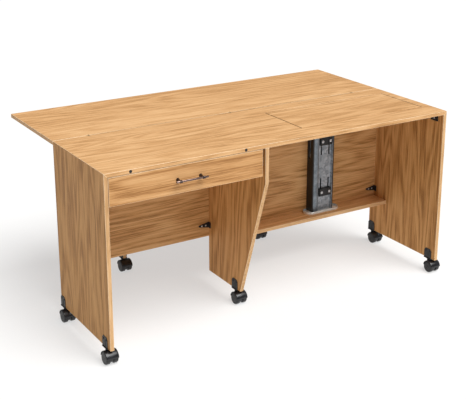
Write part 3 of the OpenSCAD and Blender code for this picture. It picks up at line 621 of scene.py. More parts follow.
OAK_END_Y = edge_band("oak_end_y", Axis.Y, (5.1, 0.8, 7.4))
OAK_END_X = edge_band("oak_end_x", Axis.X, (3.8, 2.8, 8.4))
OAK_END_Z = edge_band("oak_end_z", Axis.Z, (1.1, 5.8, 2.4))
# Near-black oak for the lift platform's end faces: painted shade in the narrow gap round the
# platform.
OAK_PAINTED_SHADE = WoodFinish(
    "oak_painted_shade", Axis.X, dark=(0.10, 0.055, 0.025), middle=(0.16, 0.09, 0.04),
    light=(0.22, 0.13, 0.06), figure=0.05,
)
# Pale oak for the rounded edges: partly the edge band's paler line, partly painted highlight along
# the arrises.
OAK_RIM_BAND_AND_HIGHLIGHT = WoodFinish(
    "oak_rim_band_and_highlight", Axis.X, dark=(0.72, 0.50, 0.28), middle=(0.84, 0.63, 0.40), light=(0.90, 0.72, 0.50),
    figure=0.05,
)
BIRCH = WoodFinish(
    "birch_box", Axis.Y, dark=(0.52, 0.33, 0.16), middle=(0.68, 0.49, 0.28),
    light=(0.78, 0.61, 0.38), shift=(2.5, 4.5, 6.5), figure=0.2,
)
BIRCH_BACK = replace(BIRCH, name="birch_back", grain=Axis.X, shift=(4.5, 1.5, 2.5))
BEECH = WoodFinish(
    "beech_dowel", Axis.X, dark=(0.50, 0.31, 0.15), middle=(0.62, 0.42, 0.23),
    light=(0.72, 0.52, 0.31), figure=0.1,
)
BLACK_STEEL = CoatFinish(
    "black_steel", (0.006, 0.006, 0.006), (0.020, 0.019, 0.019), 0.42, 1300.0, 0.3
)
BLACK_PLASTIC = CoatFinish(
    "black_plastic", (0.006, 0.006, 0.007), (0.018, 0.018, 0.020), 0.34, 700.0, 0.12
)
HOOD_PLASTIC = CoatFinish(
    "hood_plastic", (0.006, 0.006, 0.008), (0.022, 0.024, 0.030), 0.24, 600.0, 0.08
)
WHEEL_NYLON = CoatFinish(
    "wheel_nylon", (0.008, 0.008, 0.009), (0.030, 0.030, 0.032), 0.34, 900.0, 0.15
)
WHITE_NYLON = CoatFinish(
    "white_nylon", (0.80, 0.79, 0.76), (0.66, 0.64, 0.60), 0.4, 600.0, 0.1
)
GALVANISED = MetalFinish(
    "galvanised", (0.26, 0.29, 0.33), (0.50, 0.54, 0.60), 0.38, 0.18, spangle=95.0
)
YELLOW_ZINC = MetalFinish(
    "yellow_zinc", (0.52, 0.36, 0.17), (0.72, 0.52, 0.28), 0.42, 0.14, metallic=0.6
)
TOWER_PLATE = MetalFinish(
    "tower_plate", (0.20, 0.225, 0.25), (0.44, 0.475, 0.52), 0.42, 0.2, spangle=110.0, metallic=0.7
)
TOWER_STRIP = MetalFinish(
    "tower_strip", (0.12, 0.14, 0.16), (0.26, 0.29, 0.32), 0.3, 0.12, brushed=Axis.Z, metallic=0.8
)
BRIGHT_STEEL = MetalFinish(
    "bright_steel", (0.60, 0.61, 0.63), (0.78, 0.79, 0.81), 0.3, 0.12, metallic=0.8
)
HANDLE_BAR = MetalFinish(
    "handle_bar", (0.13, 0.085, 0.075), (0.27, 0.19, 0.165), 0.34, 0.14, brushed=Axis.X
)
# Whitish, faintly teal and only half metallic: partly chrome's own pale colour, partly painted
# reflection standing in for its bright highlights.
CHROME = MetalFinish(
    "chrome", (0.80, 0.86, 0.87), (0.92, 0.95, 0.95), 0.2, 0.1, metallic=0.45
)
DARK_BRONZE = MetalFinish("dark_bronze", (0.045, 0.032, 0.030), (0.10, 0.075, 0.07), 0.36, 0.16)


# ---- Pieces ----


@dataclass(frozen=True)
class Look:
    """What a piece is finished with.

    finish is the main one, end_finish goes on the faces that look along end, and the rim finish
    goes
    on the softened edges: a pale line, partly the edge band and partly painted highlight on the
    arrises.
    """

    slot: Slot
    finish: Finish
    end_finish: Finish | None = None
    end: Axis = Axis.X
    rim_band_and_highlight: Finish | None = None


def merge_flat_faces(mesh: bpy.types.Mesh) -> None:
    """Joins neighbouring faces that lie in one plane."""
    work = bmesh.new()
    work.from_mesh(mesh)
    bmesh.ops.dissolve_limit(work, angle_limit=FLAT_ANGLE, verts=work.verts[:], edges=work.edges[:])
    work.to_mesh(mesh)
    work.free()


def soften_edges(made: bpy.types.Object, width: float, inner: float, rim: int) -> None:
    """Rounds the sharp edges of a piece.

    An edge that lies on two sides of the piece's bounding box gets the full width; the share for
    every other sharp edge is inner.

    Args:
        made: The piece.
        width: Full width in millimetres.
        inner: Share of the width for inner edges.
        rim: Material number of the rounded strips; -1 keeps that of the faces beside them.
    """
    mesh = made.data
    count = len(mesh.edges)
    ends = np.empty(count * 2, np.int32)
    mesh.edges.foreach_get("vertices", ends)
    place = np.empty(len(mesh.vertices) * 3, np.float32)
    mesh.vertices.foreach_get("co", place)
    pair = place.reshape(-1, 3)[ends.reshape(-1, 2)]
    low, high = pair.min(axis=(0, 1)), pair.max(axis=(0, 1))
    at_low = np.all(np.abs(pair - low) < SAME_PLACE, axis=1)
    at_high = np.all(np.abs(pair - high) < SAME_PLACE, axis=1)
    outer = (at_low | at_high).sum(axis=1) >= 2
    sharp = np.zeros(count, bool)
    mesh.attributes["sharp_edge"].data.foreach_get("value", sharp)
    weight = np.where(outer, 1.0, inner) * sharp
    layer = mesh.attributes.new("bevel_weight_edge", "FLOAT", "EDGE")
    layer.data.foreach_set("value", weight.astype(np.float32))
    softened = made.modifiers.new("edges", "BEVEL")
    softened.width = width * METRE
    softened.segments = 2
    softened.limit_method = "WEIGHT"
    softened.use_clamp_overlap = False
    softened.harden_normals = True
    softened.material = rim


def finished(
    name: str, forms: Form | Sequence[Form], body: str, look: Look, replaces: Sequence[str],
    bevel: float = 0.5, inner: float = 1.0,
) -> bpy.types.Object:
    """Puts forms into one mesh, softens its edges, dresses it and ties it to its CAD body.

    Args:
        name: The piece's name.
        forms: One or more closed forms in millimetres.
        body: The CAD body that carries the piece.
        look: Slot and finishes.
        replaces: CAD nodes that the piece stands for.
        bevel: Width of the softened edges in millimetres; 0 leaves them sharp.
        inner: Share of that width for edges inside the bounding box.

    Returns:
        The new object.
    """
    form = forms if isinstance(forms, Form) else joined(forms)
    mesh = bpy.data.meshes.new(name)
    corners = [row for group in form.faces for row in group.tolist()]
    mesh.from_pydata((form.points * METRE).tolist(), [], corners)
    mesh.update()
    if bevel:
        merge_flat_faces(mesh)
    mesh.materials.append(look.finish.material())
    if look.end_finish is not None:
        mesh.materials.append(look.end_finish.material())
        normals = np.empty(len(mesh.polygons) * 3, np.float32)
        mesh.polygons.foreach_get("normal", normals)
        along_end = np.abs(normals.reshape(-1, 3)[:, look.end]) > FACES_END
        mesh.polygons.foreach_set("material_index", along_end.astype(np.int32))
    mesh.polygons.foreach_set("use_smooth", np.ones(len(mesh.polygons), bool))
    mesh.set_sharp_from_angle(angle=SMOOTH_ANGLE)
    made = bpy.data.objects.new(name, mesh)
    bpy.context.scene.collection.objects.link(made)
    if bevel:
        rim = -1
        # The pale rim finish on the rounded strips is partly the edge band's line, partly painted
        # highlight on the arrises.
        if look.rim_band_and_highlight is not None:
            mesh.materials.append(look.rim_band_and_highlight.material())
            rim = len(mesh.materials) - 1
        soften_edges(made, bevel, inner, rim)
    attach(made, body)
    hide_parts(*replaces)
    LOG.info("built %s on %s, %d faces", name, body, len(mesh.polygons))
    return made


def dressed(node: str, finish: Finish) -> None:
    """Gives a CAD node that is carried over its finish."""
    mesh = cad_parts[node].data
    mesh.materials.clear()
    mesh.materials.append(finish.material())
    LOG.info("dressed %s", node)


@dataclass(frozen=True)
class Plan:
    """Places that several assemblies share."""

    left: float = -800.0
    right: float = 800.0
    front: float = -449.0
    seam_front: float = 16.0
    leaf_front: float = 19.0
    rear: float = 481.0
    top: float = 750.0
    under: float = 734.0
    thick: float = 16.0
    foot: float = 60.0
    middle: float = -124.0
    back: float = -11.0
    back_rear: float = 5.0
    shelf_bottom: float = 222.0
    lift_x: float = 447.0
    plate_y: float = -42.5
    plate_thick: float = 4.0
    caster_front: float = -404.0
    caster_middle: float = -225.0
    caster_rear: float = -5.0
    bore: float = 5.0
    bore_depth: float = 25.0
    clearance: float = 0.2

    @property
    def left_inner(self) -> float:
        """Inner face of the left side panel."""
        return self.left + self.thick

    @property
    def right_inner(self) -> float:
        """Inner face of the right side panel."""
        return self.right - self.thick

    @property
    def middle_right(self) -> float:
        """Right face of the middle panel."""
        return self.middle + self.thick

    @property
    def shelf_top(self) -> float:
        """Upper face of the lift shelf."""
        return self.shelf_bottom + self.thick


PLAN = Plan()


@dataclass
class Worktop:
    """Fixed top with its opening, the leaf behind it, the lift platform's board and the hinges."""

    opening_x: Pair = (121.0, 757.0)
    opening_y: Pair = (-339.0, -65.0)
    platform_gap: float = 3.8
    hinge_xs: tuple[float, ...] = (-650.0, 0.0, 650.0)
    hinge_reach: float = 5.5
    hinge_drop: float = 5.0
    cup_half: float = 8.0
    cup_length: float = 30.0
    cup_z: Pair = (735.5, 749.0)
    slot_half: float = 3.2
    link_radius: float = 4.0
    link_half: float = 3.0
    pin_radius: float = 1.5
    pin_half: float = 6.0
    cap_xs: tuple[float, ...] = (-695.0, -212.0)

    @property
    def seam(self) -> float:
        """Middle of the gap between top and leaf."""
        return (PLAN.seam_front + PLAN.leaf_front) / 2

    @property
    def pivot_z(self) -> float:
        """Height of the hinge pivots."""
        return PLAN.top - self.hinge_drop

    def slot_y(self, side: int) -> Pair:
        """Reach of a link slot from the board's edge inwards; side is -1 for the top."""
        edge = PLAN.seam_front if side < 0 else PLAN.leaf_front
        deep = self.seam + side * (self.hinge_reach + self.link_radius + PLAN.clearance)
        return ordered(edge, deep)

    def cup_y(self, side: int) -> Pair:
        """Reach of a hinge cup from the board's edge inwards."""
        edge = PLAN.seam_front if side < 0 else PLAN.leaf_front
        return ordered(edge, edge + side * self.cup_length)

    def cuts(self, side: int) -> list[Box]:
        """Boxes of the cup pockets and link slots in one board."""
        found = []
        slot_z = (self.pivot_z - self.link_radius - PLAN.clearance, PLAN.top)
        for x in self.hinge_xs:
            found.append(((x - self.cup_half, x + self.cup_half), self.cup_y(side), self.cup_z))
            found.append(((x - self.slot_half, x + self.slot_half), self.slot_y(side), slot_z))
        return found

    def hinged_board(
        self, y: Pair, side: int, holes: list[Box], extra: tuple[Sequence[float], Sequence[float]]
    ) -> Form:
        """A board across the table with the hinge pockets in its seam edge.

        Args:
            y: The board's front and rear edges.
            side: -1 for the fixed top, 1 for the leaf.
            holes: Further boxes to cut.
            extra: The pair of X planes and the pair of Y planes of those boxes.

        Returns:
            The closed form.
        """
        cuts = self.cuts(side) + holes
        xs = [PLAN.left, PLAN.right, *extra[0], *[v for cut in cuts for v in cut[0]]]
        ys = [*y, *extra[1], *[v for cut in cuts for v in cut[1]]]
        zs = [PLAN.under, PLAN.top, *[v for cut in cuts for v in cut[2] if v < PLAN.top]]
        zs = [v for v in zs if v >= PLAN.under]
        return cell_solid((xs, ys, zs), cuts)

    def build_top(self) -> None:
        """The fixed top: its ends lean inwards at 45 degrees to meet the side panels."""
        opening = (self.opening_x, self.opening_y, (0.0, 2.0 * PLAN.top))
        form = self.hinged_board(
            (PLAN.front, PLAN.seam_front), -1, [opening], (self.opening_x, self.opening_y)
        )
        points = form.points.copy()
        at_end = np.abs(points[:, 0]) >= PLAN.right
        lean = np.sign(points[:, 0]) * (PLAN.top - points[:, 2])
        points[:, 0] -= np.where(at_end, lean, 0.0)
        look = Look(Slot.OAK_BOARD, OAK_TOP, OAK_END_Y, Axis.X, OAK_RIM_BAND_AND_HIGHLIGHT)
        form = Form(points, form.faces)
        finished("worktop_board", form, "carcass", look, ["main_top"], HINGED_RIM, HINGED_INNER)

    def build_leaf(self) -> None:
        """The quilting leaf behind the seam."""
        form = self.hinged_board((PLAN.leaf_front, PLAN.rear), 1, [], ((), ()))
        look = Look(Slot.OAK_BOARD, OAK_LEAF, OAK_END_Y, Axis.X, OAK_RIM_BAND_AND_HIGHLIGHT)
        finished("leaf_board", form, "leaf", look, ["quilting_leaf"], HINGED_RIM, HINGED_INNER)

    def build_platform(self) -> None:
        """The board that closes the opening when the lift is up."""
        gap = self.platform_gap
        x = (self.opening_x[0] + gap, self.opening_x[1] - gap)
        y = (self.opening_y[0] + gap, self.opening_y[1] - gap)
        # The platform's end faces get the near-black oak: painted shade in the gap round it.
        look = Look(Slot.OAK_BOARD, OAK_PLATFORM, OAK_PAINTED_SHADE, Axis.X)
        form = board(x, y, (PLAN.under, PLAN.top))
        finished("platform_board", form, "lift_carriage", look, ["lift_platform"], 0.8)

    def hinge_cup(self, x: float, side: int) -> Form:
        """A cast cup with the slot in which its link turns."""
        slot_z = (self.pivot_z - self.link_radius - PLAN.clearance, PLAN.top)
        slot = ((x - self.slot_half, x + self.slot_half), self.slot_y(side), slot_z)
        xs = [x - self.cup_half, x - self.slot_half, x + self.slot_half, x + self.cup_half]
        ys = [*self.cup_y(side), *self.slot_y(side)]
        return cell_solid((xs, ys, [*self.cup_z, slot_z[0]]), [slot])

    def build_hinges(self) -> None:
        """Concealed hinges: two cups and a link with two pins at each place."""
        zinc = Look(Slot.GALVANISED, YELLOW_ZINC)
        fixed = [self.hinge_cup(x, -1) for x in self.hinge_xs]
        finished("hinge_cups_top", fixed, "carcass", zinc, ["leaf_hinge_cups"], 0.3)
        moving = [self.hinge_cup(x, 1) for x in self.hinge_xs]
        finished("hinge_cups_leaf", moving, "leaf", zinc, ["leaf_cups"], 0.3)
        pivots = (self.seam - self.hinge_reach, self.seam + self.hinge_reach)
        angle = np.linspace(-90.0, 90.0, 13) * math.pi / 180.0
        bow = self.link_radius * np.stack([np.cos(angle), np.sin(angle)], axis=1)
        outline = np.concatenate(
            [bow + [pivots[1], self.pivot_z], [pivots[0], self.pivot_z] - bow]
        )
        links = []
        for x in self.hinge_xs:
            links.append(prism(outline, Axis.X, x - self.link_half, x + self.link_half))
            for y in pivots:
                at = (x, y, self.pivot_z)
                links.append(rod(Axis.X, at, self.pin_radius, -self.pin_half, self.pin_half))
        finished("hinge_links", links, "leaf_links", zinc, ["leaf_hinge_links"], 0.3)

    def build_caps(self) -> None:
        """Domed black caps in the front edge of the top."""
        middle = (PLAN.top + PLAN.under) / 2
        stem = [(0.0, 8.0), (4.6, 8.0), (4.6, 0.0)]
        dome = [(6.0, 0.0), (5.8, -0.6), (4.0, -1.3), (0.0, -1.5)]
        caps = [revolved(stem + dome, Axis.Y, (x, PLAN.front, middle), 32) for x in self.cap_xs]
        look = Look(Slot.BLACK_PLASTIC, BLACK_PLASTIC)
        finished("edge_cap_discs", caps, "carcass", look, ["edge_caps"], 0.0)

    def build(self) -> None:
        """Builds every piece of the worktop."""
        self.build_top()
        self.build_leaf()
        self.build_platform()
        self.build_hinges()
        self.build_caps()


@dataclass
class Carcass:
    """Uprights, back panel, shelf and the black brackets that hold them together."""

    taper_top: float = 590.0
    taper_foot: float = -266.0
    shelf_front: float = -103.0
    brace_z: float = 275.0
    brace_width: float = 50.0
    brace_height: float = 26.0
    brace_thick: float = 3.0
    brace_leg: float = 18.0
    brace_tip: float = 3.5
    rib_reach: Pair = (3.0, 44.0)
    rib_half: Pair = (8.0, 1.6)
    rib_depth: Pair = (0.8, 0.4)
    brace_screws: Pair = (17.0, 36.0)
    angle_ys: Pair = (-394.0, -71.0)
    angle_width: float = 44.0
    angle_leg: float = 24.0
    angle_drop: float = 36.0
    angle_thick: float = 2.5
    angle_corner: float = 2.2
    angle_screws: Pair = (14.0, 12.0)
    plate_screw_x: float = 67.5
    head_radius: float = 3.8
    head_height: float = 1.6
    head_lift: float = 0.6

    def side_panel(self, side: int) -> Form:
        """An upright whose head leans back at 45 degrees under the top; side is -1 on the left."""
        outer = side * PLAN.right
        inner = side * PLAN.right_inner
        middle = (outer + inner) / 2
        bore = PLAN.bore
        across, up = (middle - bore, middle + bore), (0.0, PLAN.foot + PLAN.bore_depth)
        bores = [(across, (y - bore, y + bore), up) for y in (PLAN.caster_front, PLAN.caster_rear)]
        xs = [outer, inner, *across]
        ys = [PLAN.front, PLAN.seam_front, *[v for b in bores for v in b[1]]]
        zs = [PLAN.foot, up[1], PLAN.top]
        form = cell_solid((xs, ys, zs), bores)
        points = form.points.copy()
        fall = np.abs(points[:, 0] - outer)
        points[:, 2] -= np.where(points[:, 2] >= PLAN.top, fall, 0.0)
        return Form(points, form.faces)

    def build_uprights(self) -> None:
        """Both side panels and the tapered middle panel."""
        for side, name, finish in ((-1, "left", OAK_LEFT), (1, "right", OAK_RIGHT)):
            look = Look(Slot.OAK_UPRIGHT, finish, OAK_END_Z, Axis.Y, OAK_RIM_BAND_AND_HIGHLIGHT)
            replaced = [f"{name}_side_panel"]
            finished(f"{name}_upright", self.side_panel(side), "carcass", look, replaced, RIM)
        bore_y = (PLAN.caster_middle - PLAN.bore, PLAN.caster_middle + PLAN.bore)
        bore_top = PLAN.foot + PLAN.bore_depth
        outline = [
            (PLAN.front, self.taper_top), (PLAN.front, PLAN.under), (PLAN.back, PLAN.under),
            (PLAN.back, PLAN.foot), (bore_y[1], PLAN.foot), (bore_y[1], bore_top),
            (bore_y[0], bore_top), (bore_y[0], PLAN.foot), (self.taper_foot, PLAN.foot),
        ]
        form = prism(outline, Axis.X, PLAN.middle, PLAN.middle_right)
        look = Look(Slot.OAK_UPRIGHT, OAK_MIDDLE, OAK_END_Z, Axis.Y, OAK_RIM_BAND_AND_HIGHLIGHT)
        finished("middle_upright", form, "carcass", look, ["middle_panel"], RIM)

    def build_back(self) -> None:
        """The back panel between the side panels and the lift shelf in front of it."""
        across = (PLAN.left_inner, PLAN.right_inner)
        form = board(across, (PLAN.back, PLAN.back_rear), (PLAN.shelf_bottom, PLAN.under))
        look = Look(Slot.OAK_BOARD, OAK_BACK, OAK_END_X, Axis.Z, OAK_RIM_BAND_AND_HIGHLIGHT)
        finished("back_board", form, "carcass", look, ["back_panel"], RIM)
        form = board(
            (PLAN.middle_right, PLAN.right_inner), (self.shelf_front, PLAN.back),
            (PLAN.shelf_bottom, PLAN.shelf_top),
        )
        look = Look(Slot.OAK_BOARD, OAK_SHELF, OAK_END_X, Axis.Y, OAK_RIM_BAND_AND_HIGHLIGHT)
        finished("shelf_board", form, "carcass", look, ["lift_shelf"], RIM)

    def brace(self, corner: float, side: int) -> list[Form]:
        """A pressed triangular brace with its folded ear; side is 1 beside a wall on its right."""
        tip = corner - side * self.brace_width
        half = self.brace_height / 2
        plate = rounded(
            [
                (corner, self.brace_z - half), (tip, self.brace_z - self.brace_tip),
                (tip, self.brace_z + self.brace_tip), (corner, self.brace_z + half),
            ],
            1.6,
        )
        near = corner - side * self.brace_thick
        ear = (PLAN.back - self.brace_leg, PLAN.back, self.brace_z - half, self.brace_z + half)
        near_x, far_x = (corner - side * reach for reach in self.rib_reach)
        wide, slim = self.rib_half
        rib = rounded(
            [
                (near_x, self.brace_z - wide), (far_x, self.brace_z - slim),
                (far_x, self.brace_z + slim), (near_x, self.brace_z + wide),
            ],
            0.8,
        )
        front = PLAN.back - self.brace_thick
        return [
            prism(plate, Axis.Y, front, PLAN.back),
            prism(rib, Axis.Y, front - self.rib_depth[0], front + self.rib_depth[1]),
            prism(rounded(rectangle(*ear), 2.0), Axis.X, *ordered(corner, near)),
        ]

    def angle_bracket(self, x: float, y: float, side: int) -> list[Form]:
        """A folded steel angle between an upright and the top."""
        half = self.angle_width / 2
        thin = x - side * self.angle_thick
        far = x - side * self.angle_leg
        corner = self.angle_corner
        upright = rectangle(y - half, y + half, PLAN.under - self.angle_drop, PLAN.under)
        flange = rectangle(*ordered(x, far), y - half, y + half)
        return [
            prism(rounded(upright, corner), Axis.X, *ordered(x, thin)),
            prism(rounded(flange, corner), Axis.Z, PLAN.under - self.angle_thick, PLAN.under),
        ]

    def build_brackets(self) -> None:
        """Braces and angles, with their screw heads."""
        inner, middle = PLAN.left_inner, PLAN.middle
        corners = [(inner, -1), (middle, 1), (PLAN.middle_right, -1), (PLAN.right_inner, 1)]
        black = Look(Slot.BLACK_STEEL, BLACK_STEEL)
        braces = [form for x, side in corners for form in self.brace(x, side)]
        finished("corner_braces", braces, "carcass", black, ["corner_brackets"], 0.4)
        uprights = [(PLAN.right_inner, 1), (PLAN.middle_right, -1)]
        angles = [(x, y, side) for x, side in uprights for y in self.angle_ys]
        forms = [form for x, y, side in angles for form in self.angle_bracket(x, y, side)]
        finished("top_angles", forms, "carcass", black, ["top_brackets"], 0.4)
        heads = []
        radius, height = self.head_radius, self.head_height
        front = PLAN.back - self.brace_thick
        for x, side in corners:
            for reach in self.brace_screws:
                at = (x - side * reach, front - self.head_lift, self.brace_z)
                heads.append(pan_head(Axis.Y, at, radius, height, 1))
        out, up = self.angle_screws
        for x, y, side in angles:
            at = (x - side * out, y, PLAN.under - self.angle_thick)
            heads.append(pan_head(Axis.Z, at, radius, height, 1))
            at = (x - side * self.angle_thick, y, PLAN.under - self.angle_drop + up)
            heads.append(pan_head(Axis.X, at, radius, height, side))
        for side in (-1, 1):
            x = PLAN.lift_x + side * self.plate_screw_x
            at = (x, PLAN.plate_y, PLAN.shelf_top + PLAN.plate_thick)
            heads.append(pan_head(Axis.Z, at, radius, height, -1))
        bright = Look(Slot.BRIGHT_STEEL, BRIGHT_STEEL)
        finished("bracket_screw_heads", heads, "carcass", bright, ["bracket_screws"], 0.0)

    def build(self) -> None:
        """Builds every piece of the carcass."""
        self.build_uprights()
        self.build_back()
        self.build_brackets()
        dressed("panel_dowels", BEECH)


@dataclass
class Drawer:
    """Drawer front with its bar handle, the box behind it and its two runners."""

    front_x: Pair = (-782.0, -136.0)
    front_z: Pair = (623.0, 732.0)
    box_x: Pair = (-771.0, -137.0)
    box_y: Pair = (-433.0, -43.0)
    box_z: Pair = (634.5, 720.5)
    side_thick: float = 12.0
    bottom_z: Pair = (644.5, 649.5)
    groove: float = 6.0
    runner_z: Pair = (660.0, 695.0)
    handle_pitch: float = 96.0
    bar_y: float = -475.0
    bar_radius: float = 4.0
    overhang: float = 20.0
    slide_plate: float = 0.8
    tongue_reach: float = 8.0
    tongue_inset: float = 6.4
    slide_ends: Pair = (2.0, 6.0)

    @property
    def handle_x(self) -> float:
        """Middle of the handle."""
        return sum(self.front_x) / 2

    @property
    def handle_z(self) -> float:
        """Height of the handle."""
        return sum(self.front_z) / 2

    def build_front(self) -> None:
        """The drawer's front board."""
        form = board(self.front_x, (PLAN.front, PLAN.front + PLAN.thick), self.front_z)
        look = Look(Slot.OAK_BOARD, OAK_FRONT, OAK_END_Z, Axis.X, OAK_RIM_BAND_AND_HIGHLIGHT)
        finished("drawer_face", form, "drawer", look, ["drawer_front"], RIM)

    def side(self, x0: float, x1: float, inner: float) -> Form:
        """A drawer side with the groove for the bottom board in its inner face."""
        far = inner - math.copysign(self.groove, inner - (x0 + x1) / 2)
        groove = (
            ordered(inner, far), self.box_y,
            (self.bottom_z[0] - PLAN.clearance, self.bottom_z[1] + PLAN.clearance),
        )
        return cell_solid(((x0, x1, far), self.box_y, (*self.box_z, *groove[2])), [groove])

    def build_box(self) -> None:
        """Sides, back and bottom of the drawer box."""
        x0, x1 = self.box_x
        thick = self.side_thick
        ends = Look(Slot.DRAWER_BOARD, BIRCH)
        sides = {"left": (x0, x0 + thick, x0 + thick), "right": (x1 - thick, x1, x1 - thick)}
        for name, places in sides.items():
            form = self.side(*places)
            finished(f"drawer_side_{name}", form, "drawer", ends, [f"drawer_{name}_side"])
        across = Look(Slot.DRAWER_BOARD, BIRCH_BACK)
        y1 = self.box_y[1]
        z = (self.bottom_z[1] + PLAN.clearance, self.box_z[1])
        form = board((x0 + thick, x1 - thick), (y1 - thick, y1), z)
        finished("drawer_back_board", form, "drawer", across, ["drawer_back"])
        cover = thick - self.groove + PLAN.clearance
        form = board((x0 + cover, x1 - cover), self.box_y, self.bottom_z)
        finished("drawer_floor", form, "drawer", across, ["drawer_bottom"], 0.3)

    def rail(self, wall: float, side: int) -> Form:
        """A rolled channel on an upright, open to the drawer; side is 1 on the left upright."""
        low, high = self.runner_z
        depth, lip, web = 12.0, 5.0, 3.0
        face = wall + side * depth
        inner = wall + side * web
        channel = [
            (wall, low), (face, low), (face, low + lip), (inner, low + lip), (inner, high - lip),
            (face, high - lip), (face, high), (wall, high),
        ]
        return prism(rounded(channel, 0.9, 4), Axis.Y, *self.box_y)

    def slide(self, wall: float, side: int) -> Form:
        """The moving slide on a drawer side: a plate with a hollow tongue in the channel."""
        low, high = self.runner_z
        plate = wall - side * self.slide_plate
        tongue = wall - side * self.tongue_reach
        inset = self.tongue_inset
        start, end = self.slide_ends
        outline = [
            (wall, low), (plate, low), (plate, low + inset), (tongue, low + inset),
            (tongue, high - inset), (plate, high - inset), (plate, high), (wall, high),
        ]
        flat = rounded(outline, 0.35, 3)
        return prism(flat, Axis.Y, self.box_y[0] + start, self.box_y[1] - end)

    def build_runners(self) -> None:
        """Rails on the uprights and slides on the drawer."""
        zinc = Look(Slot.GALVANISED, GALVANISED)
        rails = [self.rail(PLAN.left_inner, 1), self.rail(PLAN.middle, -1)]
        finished("drawer_rails", rails, "carcass", zinc, ["runner_rails"], 0.2)
        slides = [self.slide(self.box_x[0], 1), self.slide(self.box_x[1], -1)]
        finished("drawer_slides", slides, "drawer", zinc, ["runner_slides"], 0.15)

    def build_handle(self) -> None:
        """Two turned posts with collars, and the bar that runs through them."""
        radius = self.bar_radius
        posts, screws = [], []
        for side in (-1, 1):
            x = self.handle_x + side * self.handle_pitch / 2
            reach = self.bar_y - PLAN.front
            turned = [
                (0.0, reach), (3.4, reach), (3.5, reach + 7.0), (3.7, reach + 11.0), (4.5, -7.0),
                (5.4, -4.0), (6.6, -2.2), (6.9, -1.0), (6.9, 0.0), (0.0, 0.0),
            ]
            posts.append(revolved(turned, Axis.Y, (x, PLAN.front, self.handle_z), 32))
            collar = [
                (radius, -5.0), (5.3, -5.0), (6.0, -4.2), (6.0, -1.6), (5.5, -1.1), (5.5, 1.1),
                (6.0, 1.6), (6.0, 4.2), (5.3, 5.0), (radius, 5.0),
            ]
            posts.append(revolved(collar, Axis.X, (x, self.bar_y, self.handle_z), 32, ring=True))
            at = (x, PLAN.front + PLAN.thick, self.handle_z)
            screws.append(pan_head(Axis.Y, at, 4.0, 2.0, -1))
        half = self.handle_pitch / 2 + self.overhang
        bar = [
            (0.0, -half), (2.0, -half + 0.3), (3.4, -half + 1.3), (radius, -half + 3.0),
            (radius, half - 3.0), (3.4, half - 1.3), (2.0, half - 0.3), (0.0, half),
        ]
        bronze = Look(Slot.DARK_BRONZE, DARK_BRONZE)
        finished("handle_turned_posts", posts, "drawer", bronze, ["handle_posts"], 0.0)
        grip = revolved(bar, Axis.X, (self.handle_x, self.bar_y, self.handle_z), 32)
        look = Look(Slot.BRIGHT_STEEL, HANDLE_BAR)
        finished("handle_grip", grip, "drawer", look, ["handle_bar"], 0.0)
        bright = Look(Slot.BRIGHT_STEEL, BRIGHT_STEEL)
        finished("handle_screw_heads", screws, "drawer", bright, ["handle_screws"], 0.0)

    def build(self) -> None:
        """Builds every piece of the drawer."""
        self.build_front()
        self.build_box()
        self.build_runners()
        self.build_handle()


